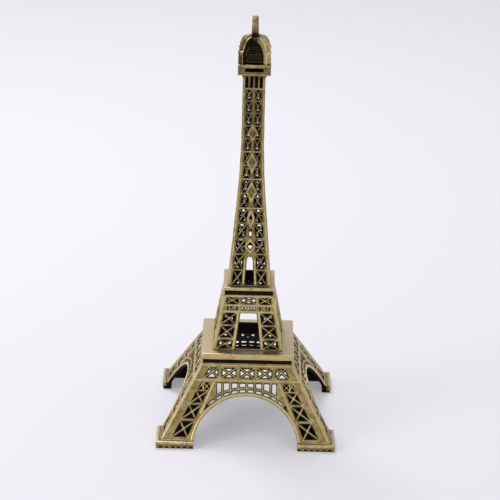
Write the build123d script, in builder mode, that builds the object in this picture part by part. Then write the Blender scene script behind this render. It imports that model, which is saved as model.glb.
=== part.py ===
"""Miniature lattice tower, a table souvenir in antique-finished cast metal.

Four flat panels with arched legs stand on L-shaped feet and carry a square deck.
Four narrower panels stand on that deck and carry a second one, from which four curved
panels rise to a small gallery. A stepped cabin, four crown straps, a hub and a hanging
ring close the top. Every panel is mitred to its neighbours and soldered from inside.

Frame: +Z up, origin on the table under the middle of the tower, front towards -Y.
All sizes are in millimetres.
"""
from build123d import *
from math import atan2, cos, degrees, hypot, sin, sqrt
import os

os.makedirs("parts", exist_ok=True)

# ---- driving dimensions ----------------------------------------------------------------
SIDES = {"front": 0, "right": 90, "back": 180, "left": 270}
CORNERS = {"front_left": 0, "front_right": 90, "back_right": 180, "back_left": 270}
REACH = 60.0  # longer than any half-width, for cutting bodies

FOOT_HALF = 38.2  # half the overall width, over the feet
FOOT_ARM = 16.0
FOOT_THICK = 4.0
FOOT_H = 3.2
FOOT_BAND_H = 1.5  # height of the set-back band along the foot's lower edge
FOOT_BAND_SET = 0.35

BASE_FOOT_HALF = 36.1
BASE_TOP_HALF = 19.3
BASE_TOP_Z = 32.1
BASE_THICK = 1.6
ARCH_HALF = 22.2  # half the arch's span at the feet
ARCH_RISE = 19.5  # measured up the slope of the panel
ARCH_RIM = 1.4

DECK_1_TOP_Z = 36.5
DECK_1_HALF = 19.95
DECK_1_EDGE = 2.6
DECK_1_NECK_HALF = 18.7
DECK_1_HOLE_HALF = 13.6

MID_FOOT_HALF = 15.1
MID_TOP_HALF = 10.67
MID_TOP_Z = 60.2
MID_THICK = 1.4

DECK_2_TOP_Z = 63.7
DECK_2_HALF = 11.05
DECK_2_EDGE = 1.4
DECK_2_NECK_HALF = 10.2
DECK_2_HOLE_HALF = 7.6

SHAFT_FOOT_HALF = 9.0
SHAFT_WAIST_HALF = 5.95
SHAFT_WAIST_Z = 100.0
SHAFT_NECK_HALF = 4.6
SHAFT_NECK_Z = 132.0
SHAFT_FLARE_Z = 154.0
SHAFT_TOP_HALF = 5.4
SHAFT_TOP_Z = 156.4
SHAFT_THICK = 1.2
SHAFT_ROWS = 14
SHAFT_ROW_FIRST = 7.2
SHAFT_LATTICE_TOP_Z = 150.0

GALLERY_HALF = 6.9
GALLERY_TOP_Z = 161.0
GALLERY_WALL = 1.2
GALLERY_ROOF = 0.9

STEP_HALF = 5.0  # the plinth's lower step
STEP_H = 1.3
STEP_CORNER = 1.3  # its corners are cut to clear the crown straps
PLINTH_HALF = 3.9
PLINTH_TOP_Z = 164.2
CABIN_TIERS = ((3.0, 166.0), (2.3, 167.6), (1.8, 169.0))  # half-width and top of each tier
CABIN_GROOVE = 0.3

CROWN_TOP_Z = 171.7
CROWN_FOOT_R = 8.3  # from the axis to a strap's outer face, along the diagonal
CROWN_HUB_R = 3.0
CROWN_HUB_H = 2.7
STRAP_WIDTH = 2.8
STRAP_FOOT_THICK = 1.9

RING_R = 4.2
RING_BORE_R = 2.0
RING_THICK = 2.6
TOWER_H = 180.0

STILE = 1.4
SOLDER_LEG = 1.2


def slanted_face(foot_half, foot_z, top_half, top_z):
    """The outer face of a front panel: origin at the middle of its foot, y up its slope."""
    lean = atan2(foot_half - top_half, top_z - foot_z)
    return Plane(origin=(0, -foot_half, foot_z), x_dir=(1, 0, 0), z_dir=(0, -cos(lean), sin(lean)))


def braced_bay(corners, bar):
    """Cuts a four-cornered bay and leaves an X of bars in it, corner to corner."""
    Polygon(*corners, align=None)
    for start, end in ((corners[0], corners[2]), (corners[1], corners[3])):
        run = Vector(*end) - Vector(*start)
        with Locations((Vector(*start) + Vector(*end)) / 2):
            tilt = degrees(atan2(run.Y, run.X))
            Rectangle(run.length, bar, rotation=tilt, mode=Mode.SUBTRACT)


def export_turned(part, name, places):
    """Writes one copy of a front piece for each place round the tower."""
    for place, turn in places.items():
        with BuildPart() as turned:
            add(part, rotation=(0, 0, turn))
        turned.part.label = f"{name}_{place}"
        export_step(turned.part, f"parts/{name}_{place}.step")


def solder_beads(name, low_half, low_z, high_half, high_z):
    """Four beads of solder up the inner corners between two heights."""
    with BuildPart() as beads:
        for half, z in ((low_half, low_z), (high_half, high_z)):
            with BuildSketch(Plane.XY.offset(z)):
                Polygon((half, half), (half - SOLDER_LEG, half), (half, half - SOLDER_LEG), align=None)
        loft()
        bead = beads.part
        for turn in (90, 180, 270):
            add(bead, rotation=(0, 0, turn))
    beads.part.label = name
    export_step(beads.part, f"parts/{name}.step")


# ---- feet ------------------------------------------------------------------------------
with BuildPart() as foot:
    corner = (-FOOT_HALF, -FOOT_HALF)
    with BuildSketch():
        with Locations(corner):
            Rectangle(FOOT_ARM, FOOT_THICK, align=(Align.MIN, Align.MIN))
            Rectangle(FOOT_THICK, FOOT_ARM, align=(Align.MIN, Align.MIN))
    extrude(amount=FOOT_H)
    with BuildSketch():
        with Locations(corner):
            Rectangle(FOOT_ARM, FOOT_BAND_SET, align=(Align.MIN, Align.MIN))
            Rectangle(FOOT_BAND_SET, FOOT_ARM, align=(Align.MIN, Align.MIN))
    extrude(amount=FOOT_BAND_H, mode=Mode.SUBTRACT)
    outer_edges = foot.edges().group_by(Axis.Z)[-1].filter_by(
        lambda edge: min(edge.center().X, edge.center().Y) < -FOOT_HALF + 0.01
    )
    fillet(outer_edges, radius=0.5)
export_turned(foot.part, "foot", CORNERS)

# ---- base panels, with the arch between the legs ---------------------------------------
base_face = slanted_face(BASE_FOOT_HALF, FOOT_H, BASE_TOP_HALF, BASE_TOP_Z)
base_slope = hypot(BASE_FOOT_HALF - BASE_TOP_HALF, BASE_TOP_Z - FOOT_H)
arch_r = (ARCH_HALF**2 + ARCH_RISE**2) / (2 * ARCH_RISE)
arch_centre_s = ARCH_RISE - arch_r
BASE_SIDE_STILE = 4.0
BASE_BAR = 0.75
BELT_LOW_S = 27.0
BELT_HIGH_S = 31.4
BELT_PITCH = 7.7
SPANDREL_TOP_S = 24.95
SPANDREL_PITCH = 3.45
SPANDREL_BAR = 0.85
LEG_STILE = 2.3
LEG_BAYS = ((1.3, 8.2), (9.2, 15.2), (16.1, 21.1))
LATTICE_LOW_S = 21.8
LATTICE_HIGH_S = 24.8
LATTICE_INNER_X = 15.8
ROW_LOW = (ARCH_RIM, 2.7)  # lower row of the spandrel, as distances outside the arch
ROW_HIGH = 3.7  # the upper row starts this far outside the arch
ROW_STEP_DEG = 8.2


def base_outer_x(s):
    """Outer edge of the base's lattice at a distance up the slope."""
    return BASE_FOOT_HALF - (BASE_FOOT_HALF - BASE_TOP_HALF) / base_slope * s - BASE_SIDE_STILE


def leg_inner_x(s):
    """Inner edge of the leg's lattice at a distance up the slope."""
    return 24.6 - 0.402 * (s - 1.5)


def leg_quad(low, high, inner=leg_inner_x):
    return (
        (inner(low), low),
        (base_outer_x(low), low),
        (base_outer_x(high), high),
        (inner(high), high),
    )


def spandrel_region(low, high, mode):
    """The area between the two legs' inner stiles from one height to another."""
    low_x = leg_inner_x(low) - LEG_STILE
    high_x = leg_inner_x(high) - LEG_STILE
    Polygon((-low_x, low), (low_x, low), (high_x, high), (-high_x, high), align=None, mode=mode)


with BuildPart() as base_panel:
    with BuildSketch(base_face):
        with Locations((0, base_slope / 2)):
            Rectangle(2 * REACH, 2 * base_slope)
    extrude(amount=-BASE_THICK)
    with BuildSketch(Plane.XY.offset(FOOT_H)):
        Polygon((0, 0), (-REACH, -REACH), (REACH, -REACH), align=None)
    extrude(amount=BASE_TOP_Z - FOOT_H, mode=Mode.INTERSECT)
    with BuildSketch(base_face):
        with Locations((0, arch_centre_s)):
            Circle(arch_r)
    extrude(amount=2 * BASE_THICK, both=True, mode=Mode.SUBTRACT)
    with BuildSketch(base_face):
        centre_edge = (BELT_PITCH - STILE) / 2
        braced_bay(
            (
                (-centre_edge, BELT_LOW_S),
                (centre_edge, BELT_LOW_S),
                (centre_edge, BELT_HIGH_S),
                (-centre_edge, BELT_HIGH_S),
            ),
            BASE_BAR,
        )
        inner_left = (BELT_PITCH + STILE) / 2
        inner_right = 1.5 * BELT_PITCH - STILE / 2
        end_left = 1.5 * BELT_PITCH + STILE / 2
        braced_bay(
            (
                (inner_left, BELT_LOW_S),
                (inner_right, BELT_LOW_S),
                (inner_right, BELT_HIGH_S),
                (inner_left, BELT_HIGH_S),
            ),
            BASE_BAR,
        )
        braced_bay(leg_quad(BELT_LOW_S, BELT_HIGH_S, inner=lambda s: end_left), BASE_BAR)
        for low, high in LEG_BAYS:
            braced_bay(leg_quad(low, high), BASE_BAR)
        lattice_middle = (LATTICE_INNER_X + base_outer_x(LATTICE_LOW_S)) / 2
        braced_bay(
            (
                (LATTICE_INNER_X, LATTICE_LOW_S),
                (lattice_middle - 0.3, LATTICE_LOW_S),
                (lattice_middle - 0.3, LATTICE_HIGH_S),
                (LATTICE_INNER_X, LATTICE_HIGH_S),
            ),
            0.5,
        )
        braced_bay(leg_quad(LATTICE_LOW_S, LATTICE_HIGH_S, inner=lambda s: lattice_middle + 0.3), 0.5)
        mirror(about=Plane.YZ)
    extrude(amount=2 * BASE_THICK, both=True, mode=Mode.SUBTRACT)
    with BuildSketch(base_face):
        spandrel_region(16.0, SPANDREL_TOP_S, Mode.ADD)
        with Locations((0, arch_centre_s)):
            Circle(arch_r + ROW_HIGH, mode=Mode.SUBTRACT)
        with GridLocations(SPANDREL_PITCH, 1, 7, 1):
            Rectangle(SPANDREL_BAR, 2 * REACH, mode=Mode.SUBTRACT)
        for outside in (1, -1):
            with Locations((outside * (4 * SPANDREL_PITCH + REACH / 2 - 0.6), 0)):
                Rectangle(REACH, 2 * REACH, mode=Mode.SUBTRACT)
    extrude(amount=2 * BASE_THICK, both=True, mode=Mode.SUBTRACT)
    with BuildSketch(base_face):
        with Locations((0, arch_centre_s)):
            Circle(arch_r + ROW_LOW[1])
            Circle(arch_r + ROW_LOW[0], mode=Mode.SUBTRACT)
        spandrel_region(14.2, SPANDREL_TOP_S, Mode.INTERSECT)
        with Locations((0, arch_centre_s)):
            half_fan = 5 * ROW_STEP_DEG
            with PolarLocations(arch_r + ROW_LOW[0], 11, 90 - half_fan, 2 * half_fan, endpoint=True):
                Rectangle(4, SPANDREL_BAR, mode=Mode.SUBTRACT)
    extrude(amount=2 * BASE_THICK, both=True, mode=Mode.SUBTRACT)
export_turned(base_panel.part, "base_panel", SIDES)

base_run = (BASE_FOOT_HALF - BASE_TOP_HALF) / (BASE_TOP_Z - FOOT_H)
base_inset = BASE_THICK * hypot(1, base_run)
solder_beads(
    "base_solder",
    BASE_FOOT_HALF - base_inset,
    FOOT_H,
    BASE_TOP_HALF - base_inset,
    BASE_TOP_Z,
)

# ---- first deck ------------------------------------------------------------------------
with BuildPart() as first_deck:
    with BuildSketch(Plane.XY.offset(BASE_TOP_Z)):
        Rectangle(2 * DECK_1_NECK_HALF, 2 * DECK_1_NECK_HALF)
    extrude(amount=DECK_1_TOP_Z - BASE_TOP_Z)
    with BuildSketch(Plane.XY.offset(DECK_1_TOP_Z - DECK_1_EDGE)):
        Rectangle(2 * DECK_1_HALF, 2 * DECK_1_HALF)
    extrude(amount=DECK_1_EDGE)
    with BuildSketch(Plane.XY.offset(BASE_TOP_Z)):
        Rectangle(2 * DECK_1_HOLE_HALF, 2 * DECK_1_HOLE_HALF)
    extrude(amount=DECK_1_TOP_Z - BASE_TOP_Z, mode=Mode.SUBTRACT)
    fillet(first_deck.faces().sort_by(Axis.Z)[-1].outer_wire().edges(), radius=0.5)
first_deck.part.label = "first_deck"
export_step(first_deck.part, "parts/first_deck.step")

# ---- middle panels ---------------------------------------------------------------------
mid_face = slanted_face(MID_FOOT_HALF, DECK_1_TOP_Z, MID_TOP_HALF, MID_TOP_Z)
mid_slope = hypot(MID_FOOT_HALF - MID_TOP_HALF, MID_TOP_Z - DECK_1_TOP_Z)
MID_STILE = 1.5
MID_BAR = 0.6
MID_BELT_LOW_S = 20.1
MID_BELT_HIGH_S = 23.1
MID_BELT_CENTRE_HALF = 3.0
MID_BELT_SIDE_X = 4.3
MID_BAYS = ((0.5, 4.5), (5.3, 10.4), (11.2, 16.2))
DOOR_LOW_S = 0.6
DOOR_HIGH_S = 16.2
DOOR_LOW_HALF = 5.5
DOOR_HIGH_HALF = 3.6
FRIEZE_S = 18.2
FRIEZE_SLOT_H = 1.6
FRIEZE_SLOT_W = 0.55
FRIEZE_PITCH = 1.3


def mid_outer_x(s):
    """Outer edge of the middle panel's lattice at a distance up the slope."""
    return MID_FOOT_HALF - (MID_FOOT_HALF - MID_TOP_HALF) / mid_slope * s - MID_STILE


def door_half(s):
    """Half the width of the middle opening at a distance up the slope."""
    return DOOR_LOW_HALF + (DOOR_HIGH_HALF - DOOR_LOW_HALF) * (s - DOOR_LOW_S) / (DOOR_HIGH_S - DOOR_LOW_S)


with BuildPart() as mid_panel:
    with BuildSketch(mid_face):
        with Locations((0, mid_slope / 2)):
            Rectangle(2 * REACH, 2 * mid_slope)
    extrude(amount=-MID_THICK)
    with BuildSketch(Plane.XY.offset(DECK_1_TOP_Z)):
        Polygon((0, 0), (-REACH, -REACH), (REACH, -REACH), align=None)
    extrude(amount=MID_TOP_Z - DECK_1_TOP_Z, mode=Mode.INTERSECT)
    with BuildSketch(mid_face):
        Polygon(
            (-door_half(DOOR_LOW_S), DOOR_LOW_S),
            (door_half(DOOR_LOW_S), DOOR_LOW_S),
            (door_half(DOOR_HIGH_S), DOOR_HIGH_S),
            (-door_half(DOOR_HIGH_S), DOOR_HIGH_S),
            align=None,
        )
        with Locations((0, FRIEZE_S)):
            with GridLocations(FRIEZE_PITCH, 1, 5, 1):
                Rectangle(FRIEZE_SLOT_W, FRIEZE_SLOT_H)
        braced_bay(
            (
                (-MID_BELT_CENTRE_HALF, MID_BELT_LOW_S),
                (MID_BELT_CENTRE_HALF, MID_BELT_LOW_S),
                (MID_BELT_CENTRE_HALF, MID_BELT_HIGH_S),
                (-MID_BELT_CENTRE_HALF, MID_BELT_HIGH_S),
            ),
            MID_BAR,
        )
    extrude(amount=2 * MID_THICK, both=True, mode=Mode.SUBTRACT)
    with BuildSketch(mid_face):
        braced_bay(
            (
                (MID_BELT_SIDE_X, MID_BELT_LOW_S),
                (mid_outer_x(MID_BELT_LOW_S), MID_BELT_LOW_S),
                (mid_outer_x(MID_BELT_HIGH_S), MID_BELT_HIGH_S),
                (MID_BELT_SIDE_X, MID_BELT_HIGH_S),
            ),
            MID_BAR,
        )
        for low, high in MID_BAYS:
            braced_bay(
                (
                    (door_half(low) + STILE, low),
                    (mid_outer_x(low), low),
                    (mid_outer_x(high), high),
                    (door_half(high) + STILE, high),
                ),
                MID_BAR,
            )
        with Locations((MID_BELT_SIDE_X + 2 * FRIEZE_PITCH, FRIEZE_S)):
            with GridLocations(FRIEZE_PITCH, 1, 4, 1):
                Rectangle(FRIEZE_SLOT_W, FRIEZE_SLOT_H)
        mirror(about=Plane.YZ)
    extrude(amount=2 * MID_THICK, both=True, mode=Mode.SUBTRACT)
export_turned(mid_panel.part, "mid_panel", SIDES)

mid_run = (MID_FOOT_HALF - MID_TOP_HALF) / (MID_TOP_Z - DECK_1_TOP_Z)
mid_inset = MID_THICK * hypot(1, mid_run)
solder_beads(
    "mid_solder",
    MID_FOOT_HALF - mid_inset,
    DECK_1_TOP_Z,
    MID_TOP_HALF - mid_inset,
    MID_TOP_Z,
)

# ---- second deck -----------------------------------------------------------------------
with BuildPart() as second_deck:
    with BuildSketch(Plane.XY.offset(MID_TOP_Z)):
        Rectangle(2 * DECK_2_NECK_HALF, 2 * DECK_2_NECK_HALF)
    extrude(amount=DECK_2_TOP_Z - MID_TOP_Z)
    with BuildSketch(Plane.XY.offset(DECK_2_TOP_Z - DECK_2_EDGE)):
        Rectangle(2 * DECK_2_HALF, 2 * DECK_2_HALF)
    extrude(amount=DECK_2_EDGE)
    with BuildSketch(Plane.XY.offset(MID_TOP_Z)):
        Rectangle(2 * DECK_2_HOLE_HALF, 2 * DECK_2_HOLE_HALF)
    extrude(amount=DECK_2_TOP_Z - MID_TOP_Z, mode=Mode.SUBTRACT)
    fillet(second_deck.faces().sort_by(Axis.Z)[-1].outer_wire().edges(), radius=0.35)
second_deck.part.label = "second_deck"
export_step(second_deck.part, "parts/second_deck.step")

# ---- curved shaft panels ---------------------------------------------------------------
SHAFT_BAR = 0.55
SHAFT_RAIL = 0.7  # height of the bars between two rows
PORTAL_TOP_Z = 76.7
PORTAL_FOOT_HALF = 2.1
PORTAL_TOP_HALF = 1.4
PORTAL_STILE = 1.1
SPINE_LOW = (78.0, 2.3)  # height and half-width of the shaft's middle bar, low and high
SPINE_HIGH = (108.0, 0.65)
LOZENGES = ((81.5, 2.6, 7.0), (93.7, 1.9, 9.0), (105.2, 2.5, 10.0), (118.0, 2.4, 10.0), (131.0, 2.3, 7.6))
LOZENGE_STROKE = 1.15
SPINE_SLOT_Z = 87.1  # a slot in the middle bar, between the two lowest lozenges
SPINE_SLOT_W = 1.3
SPINE_SLOT_H = 3.4
FLUTE_Z = (150.6, 155.3)
FLUTE_PITCH = 2.0
FLUTE_W = 1.1

shaft_arc_r = (SHAFT_NECK_Z - SHAFT_WAIST_Z) / sin(
    2 * atan2(SHAFT_WAIST_HALF - SHAFT_NECK_HALF, SHAFT_NECK_Z - SHAFT_WAIST_Z)
)


def between(z, low, high):
    """Straight-line value at a height, from two (height, value) pairs, held beyond them."""
    share = min(max((z - low[0]) / (high[0] - low[0]), 0), 1)
    return low[1] + (high[1] - low[1]) * share


def shaft_half(z):
    """Half the shaft's outer width at a height: straight, then an arc, then upright."""
    if z <= SHAFT_WAIST_Z:
        return between(z, (DECK_2_TOP_Z, SHAFT_FOOT_HALF), (SHAFT_WAIST_Z, SHAFT_WAIST_HALF))
    below_neck = max(SHAFT_NECK_Z - z, 0)
    return SHAFT_NECK_HALF + shaft_arc_r - sqrt(shaft_arc_r**2 - below_neck**2)


def portal_half(z):
    return between(z, (DECK_2_TOP_Z, PORTAL_FOOT_HALF), (PORTAL_TOP_Z, PORTAL_TOP_HALF))


def spine_half(z):
    """Inner edge of the lattice: beside the portal low down, beside the middle bar above."""
    if z < SPINE_LOW[0]:
        return portal_half(z) + PORTAL_STILE
    return between(z, SPINE_LOW, SPINE_HIGH)


def lozenge(centre_z, half, height, mode):
    """An upright lozenge on the shaft's middle line."""
    Polygon(
        (0, centre_z - height / 2),
        (half, centre_z),
        (0, centre_z + height / 2),
        (-half, centre_z),
        align=None,
        mode=mode,
    )


shaft_height = SHAFT_LATTICE_TOP_Z - DECK_2_TOP_Z
row_shrink = 2 * (SHAFT_ROWS * SHAFT_ROW_FIRST - shaft_height) / (SHAFT_ROWS * (SHAFT_ROWS - 1))
row_levels = [DECK_2_TOP_Z]
for row in range(SHAFT_ROWS):
    row_levels.append(row_levels[-1] + SHAFT_ROW_FIRST - row_shrink * row)

with BuildPart() as shaft_panel:
    with BuildSketch(Plane.YZ):
        with BuildLine():
            straight = Line((-SHAFT_FOOT_HALF, DECK_2_TOP_Z), (-SHAFT_WAIST_HALF, SHAFT_WAIST_Z))
            curve = TangentArc(straight @ 1, (-SHAFT_NECK_HALF, SHAFT_NECK_Z), tangent=straight % 1)
            upright = Line(curve @ 1, (-SHAFT_NECK_HALF, SHAFT_FLARE_Z))
            flare = TangentArc(upright @ 1, (-SHAFT_TOP_HALF, SHAFT_TOP_Z), tangent=(0, 1))
            Polyline(flare @ 1, (0, SHAFT_TOP_Z), (0, DECK_2_TOP_Z), straight @ 0)
        solid_side = make_face()
        with Locations((SHAFT_THICK, 0)):
            add(solid_side, mode=Mode.SUBTRACT)
    extrude(amount=REACH, both=True)
    with BuildSketch(Plane.XY.offset(DECK_2_TOP_Z)):
        Polygon((0, 0), (-REACH, -REACH), (REACH, -REACH), align=None)
    extrude(amount=SHAFT_TOP_Z - DECK_2_TOP_Z, mode=Mode.INTERSECT)
    with BuildSketch(Plane.XZ):
        for low, high in zip(row_levels[:-1], row_levels[1:]):
            low += SHAFT_RAIL / 2
            high -= SHAFT_RAIL / 2
            braced_bay(
                (
                    (spine_half(low), low),
                    (shaft_half(low) - STILE, low),
                    (shaft_half(high) - STILE, high),
                    (spine_half(high), high),
                ),
                SHAFT_BAR,
            )
        mirror(about=Plane.YZ)
        for centre_z, half, height in LOZENGES:
            lozenge(centre_z, half, height, Mode.SUBTRACT)
            inner_half = half - LOZENGE_STROKE
            lozenge(centre_z, inner_half, height * inner_half / half, Mode.ADD)
        spine_low_z = LOZENGES[2][0] - LOZENGES[2][2] / 2
        with Locations((0, spine_low_z)):
            spine_h = SHAFT_LATTICE_TOP_Z - spine_low_z
            Rectangle(2 * SPINE_HIGH[1], spine_h, align=(Align.CENTER, Align.MIN), mode=Mode.SUBTRACT)
        with Locations((0, SPINE_SLOT_Z)):
            Rectangle(SPINE_SLOT_W, SPINE_SLOT_H)
    extrude(amount=REACH, mode=Mode.SUBTRACT)
    with BuildSketch(Plane.XZ):
        portal_spring_z = PORTAL_TOP_Z - PORTAL_TOP_HALF
        Polygon(
            (-portal_half(DECK_2_TOP_Z), DECK_2_TOP_Z + 0.5),
            (portal_half(DECK_2_TOP_Z), DECK_2_TOP_Z + 0.5),
            (PORTAL_TOP_HALF, portal_spring_z),
            (-PORTAL_TOP_HALF, portal_spring_z),
            align=None,
        )
        with Locations((0, portal_spring_z)):
            Circle(PORTAL_TOP_HALF)
        with Locations((0, sum(FLUTE_Z) / 2)):
            with GridLocations(FLUTE_PITCH, 1, 4, 1):
                Rectangle(FLUTE_W, FLUTE_Z[1] - FLUTE_Z[0])
    extrude(amount=REACH, mode=Mode.SUBTRACT)
export_turned(shaft_panel.part, "shaft_panel", SIDES)

# ---- gallery ---------------------------------------------------------------------------
SLOT_HALF = 3.9
SLOT_LOW_Z = 157.9
SLOT_HIGH_Z = 159.4

with BuildPart() as gallery:
    with BuildSketch(Plane.XY.offset(SHAFT_TOP_Z)):
        Rectangle(2 * GALLERY_HALF, 2 * GALLERY_HALF)
    extrude(amount=GALLERY_TOP_Z - SHAFT_TOP_Z)
    cavity_half = GALLERY_HALF - GALLERY_WALL
    with BuildSketch(Plane.XY.offset(SHAFT_TOP_Z + GALLERY_ROOF)):
        Rectangle(2 * cavity_half, 2 * cavity_half)
    extrude(amount=GALLERY_TOP_Z - SHAFT_TOP_Z - 2 * GALLERY_ROOF, mode=Mode.SUBTRACT)
    floor_hole_half = SHAFT_NECK_HALF - SHAFT_THICK
    with BuildSketch(Plane.XY.offset(SHAFT_TOP_Z)):
        Rectangle(2 * floor_hole_half, 2 * floor_hole_half)
    extrude(amount=GALLERY_ROOF, mode=Mode.SUBTRACT)
    for wall_plane in (Plane.XZ, Plane.YZ):
        with BuildSketch(wall_plane):
            with Locations((0, (SLOT_LOW_Z + SLOT_HIGH_Z) / 2)):
                Rectangle(2 * SLOT_HALF, SLOT_HIGH_Z - SLOT_LOW_Z)
        extrude(amount=REACH, both=True, mode=Mode.SUBTRACT)
gallery.part.label = "gallery"
export_step(gallery.part, "parts/gallery.step")

# ---- cabin under the crown -------------------------------------------------------------
with BuildPart() as cabin_step:
    with BuildSketch(Plane.XY.offset(GALLERY_TOP_Z)) as step_outline:
        Rectangle(2 * STEP_HALF, 2 * STEP_HALF)
        chamfer(step_outline.vertices(), length=STEP_CORNER)
    extrude(amount=STEP_H)
    with BuildSketch(Plane.XY.offset(GALLERY_TOP_Z + STEP_H)):
        Rectangle(2 * PLINTH_HALF, 2 * PLINTH_HALF)
    extrude(amount=PLINTH_TOP_Z - GALLERY_TOP_Z - STEP_H)
    chamfer(cabin_step.faces().sort_by(Axis.Z)[-1].edges(), length=0.4)
cabin_step.part.label = "cabin_step"
export_step(cabin_step.part, "parts/cabin_step.step")

with BuildPart() as cabin:
    tier_foot_z = PLINTH_TOP_Z
    for tier_half, tier_top_z in CABIN_TIERS:
        with BuildSketch(Plane.XY.offset(tier_foot_z)):
            Rectangle(2 * tier_half, 2 * tier_half)
        extrude(amount=tier_top_z - tier_foot_z)
        tier_foot_z = tier_top_z
    for groove_z in (164.9, 165.6):
        with BuildSketch(Plane.XY.offset(groove_z)):
            Rectangle(2 * CABIN_TIERS[0][0], 2 * CABIN_TIERS[0][0])
            inner_half = CABIN_TIERS[0][0] - CABIN_GROOVE
            Rectangle(2 * inner_half, 2 * inner_half, mode=Mode.SUBTRACT)
        extrude(amount=0.3, mode=Mode.SUBTRACT)
cabin.part.label = "cabin"
export_step(cabin.part, "parts/cabin.step")

# ---- crown: four bent straps under a hub -----------------------------------------------
# A strap is a post with a square shoulder and a thicker arm that bends over to the hub.
# Both of the arm's edges are quarter ellipses, given by their centre and half-axes.
ARM_OUTER = ((3.0, 165.5), 4.9, 6.2)
ARM_INNER = ((2.0, 164.0), 4.4, 5.2)
SHOULDER = (7.0, 8.5, 164.8, 166.6)  # inner and outer radius, low and high z

diagonal = Plane(origin=(0, 0, 0), x_dir=(-1, -1, 0), z_dir=(-1, 1, 0))
with BuildPart() as strap:
    with BuildSketch(diagonal):
        with BuildLine():
            outer = EllipticalCenterArc(*ARM_OUTER, start_angle=0, arc_size=90)
            inner = EllipticalCenterArc(*ARM_INNER, start_angle=0, arc_size=90)
            Polyline(outer @ 1, (ARM_INNER[0][0], CROWN_TOP_Z), inner @ 1)
            Polyline(
                outer @ 0,
                (CROWN_FOOT_R, ARM_OUTER[0][1]),
                (CROWN_FOOT_R, GALLERY_TOP_Z),
                (CROWN_FOOT_R - STRAP_FOOT_THICK, GALLERY_TOP_Z),
                inner @ 0,
            )
        make_face()
    extrude(amount=STRAP_WIDTH / 2, both=True)
    with BuildSketch(diagonal):
        shoulder_in, shoulder_out, shoulder_low, shoulder_high = SHOULDER
        with Locations((shoulder_in, shoulder_low)):
            Rectangle(
                shoulder_out - shoulder_in, shoulder_high - shoulder_low, align=(Align.MIN, Align.MIN)
            )
    extrude(amount=STRAP_WIDTH / 2, both=True)
    with BuildSketch(Plane.XY.offset(CROWN_TOP_Z)):
        Circle(CROWN_HUB_R)
    extrude(amount=-CROWN_HUB_H - 1, mode=Mode.SUBTRACT)
export_turned(strap.part, "crown_strap", CORNERS)

with BuildPart() as crown_hub:
    with BuildSketch(Plane.XY.offset(CROWN_TOP_Z - CROWN_HUB_H)):
        Circle(CROWN_HUB_R)
    extrude(amount=CROWN_HUB_H)
crown_hub.part.label = "crown_hub"
export_step(crown_hub.part, "parts/crown_hub.step")

# ---- hanging ring ----------------------------------------------------------------------
RING_FOOT_LENGTH = 4.4
RING_FOOT_H = 1.5

with BuildPart() as hanging_ring:
    ring_centre_z = TOWER_H - RING_R
    with BuildSketch(Plane.YZ):
        with Locations((0, ring_centre_z)):
            Circle(RING_R)
        with Locations((0, CROWN_TOP_Z)):
            Rectangle(RING_FOOT_LENGTH, RING_FOOT_H, align=(Align.CENTER, Align.MIN))
        with Locations((0, CROWN_TOP_Z)):
            Rectangle(2 * REACH, 5, align=(Align.CENTER, Align.MAX), mode=Mode.SUBTRACT)
        with Locations((0, ring_centre_z)):
            Circle(RING_BORE_R, mode=Mode.SUBTRACT)
    extrude(amount=RING_THICK / 2, both=True)
hanging_ring.part.label = "hanging_ring"
export_step(hanging_ring.part, "parts/hanging_ring.step")
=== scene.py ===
"""Looks of the miniature lattice tower, built around its CAD frame.

Each casting is drawn flat in millimetres, as (across, up, depth) with depth 0 at its outer
face, and is then laid on its sloping or curved side and turned to each side of the tower.
"""

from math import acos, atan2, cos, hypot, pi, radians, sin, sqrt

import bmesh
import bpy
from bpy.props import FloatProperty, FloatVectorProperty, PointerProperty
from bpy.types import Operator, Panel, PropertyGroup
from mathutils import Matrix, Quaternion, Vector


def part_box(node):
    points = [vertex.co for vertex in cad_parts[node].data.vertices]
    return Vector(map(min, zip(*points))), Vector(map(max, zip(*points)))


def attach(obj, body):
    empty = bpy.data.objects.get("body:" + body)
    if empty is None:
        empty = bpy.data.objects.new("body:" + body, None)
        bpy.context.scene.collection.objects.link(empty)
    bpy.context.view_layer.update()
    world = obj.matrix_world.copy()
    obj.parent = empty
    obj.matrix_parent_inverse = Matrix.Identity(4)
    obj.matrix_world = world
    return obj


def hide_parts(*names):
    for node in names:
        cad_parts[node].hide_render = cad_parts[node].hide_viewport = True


bl_info = {
    "name": "Miniature Lattice Tower",
    "version": (1, 0, 0),
    "blender": (4, 5, 0),
    "location": "View3D > Sidebar > Tower",
    "description": "Builds the castings, finish and stage of a souvenir lattice tower",
    "category": "Object",
}

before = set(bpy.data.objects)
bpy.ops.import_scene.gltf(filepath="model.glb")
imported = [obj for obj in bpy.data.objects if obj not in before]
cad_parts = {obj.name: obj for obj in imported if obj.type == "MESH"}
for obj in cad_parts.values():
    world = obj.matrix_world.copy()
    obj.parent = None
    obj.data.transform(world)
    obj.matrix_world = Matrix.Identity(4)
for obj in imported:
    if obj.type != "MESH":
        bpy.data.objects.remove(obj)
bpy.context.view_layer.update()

MM = 0.001
SIDES = {"front": 0, "right": 90, "back": 180, "left": 270}
CORNERS = {"front_left": 0, "front_right": 90, "back_right": 180, "back_left": 270}


# ---- places read from the frame ----------------------------------------------------------
def corners_mm(node):
    """Lowest and highest corner of a CAD node, in millimetres."""
    low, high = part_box(node)
    return low / MM, high / MM


def outer_half(node, height):
    """How far a front node's face stands from the tower's axis at one height, in millimetres."""
    level = [v.co.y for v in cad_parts[node].data.vertices if abs(v.co.z / MM - height) < 0.05]
    return -min(level) / MM


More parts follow.
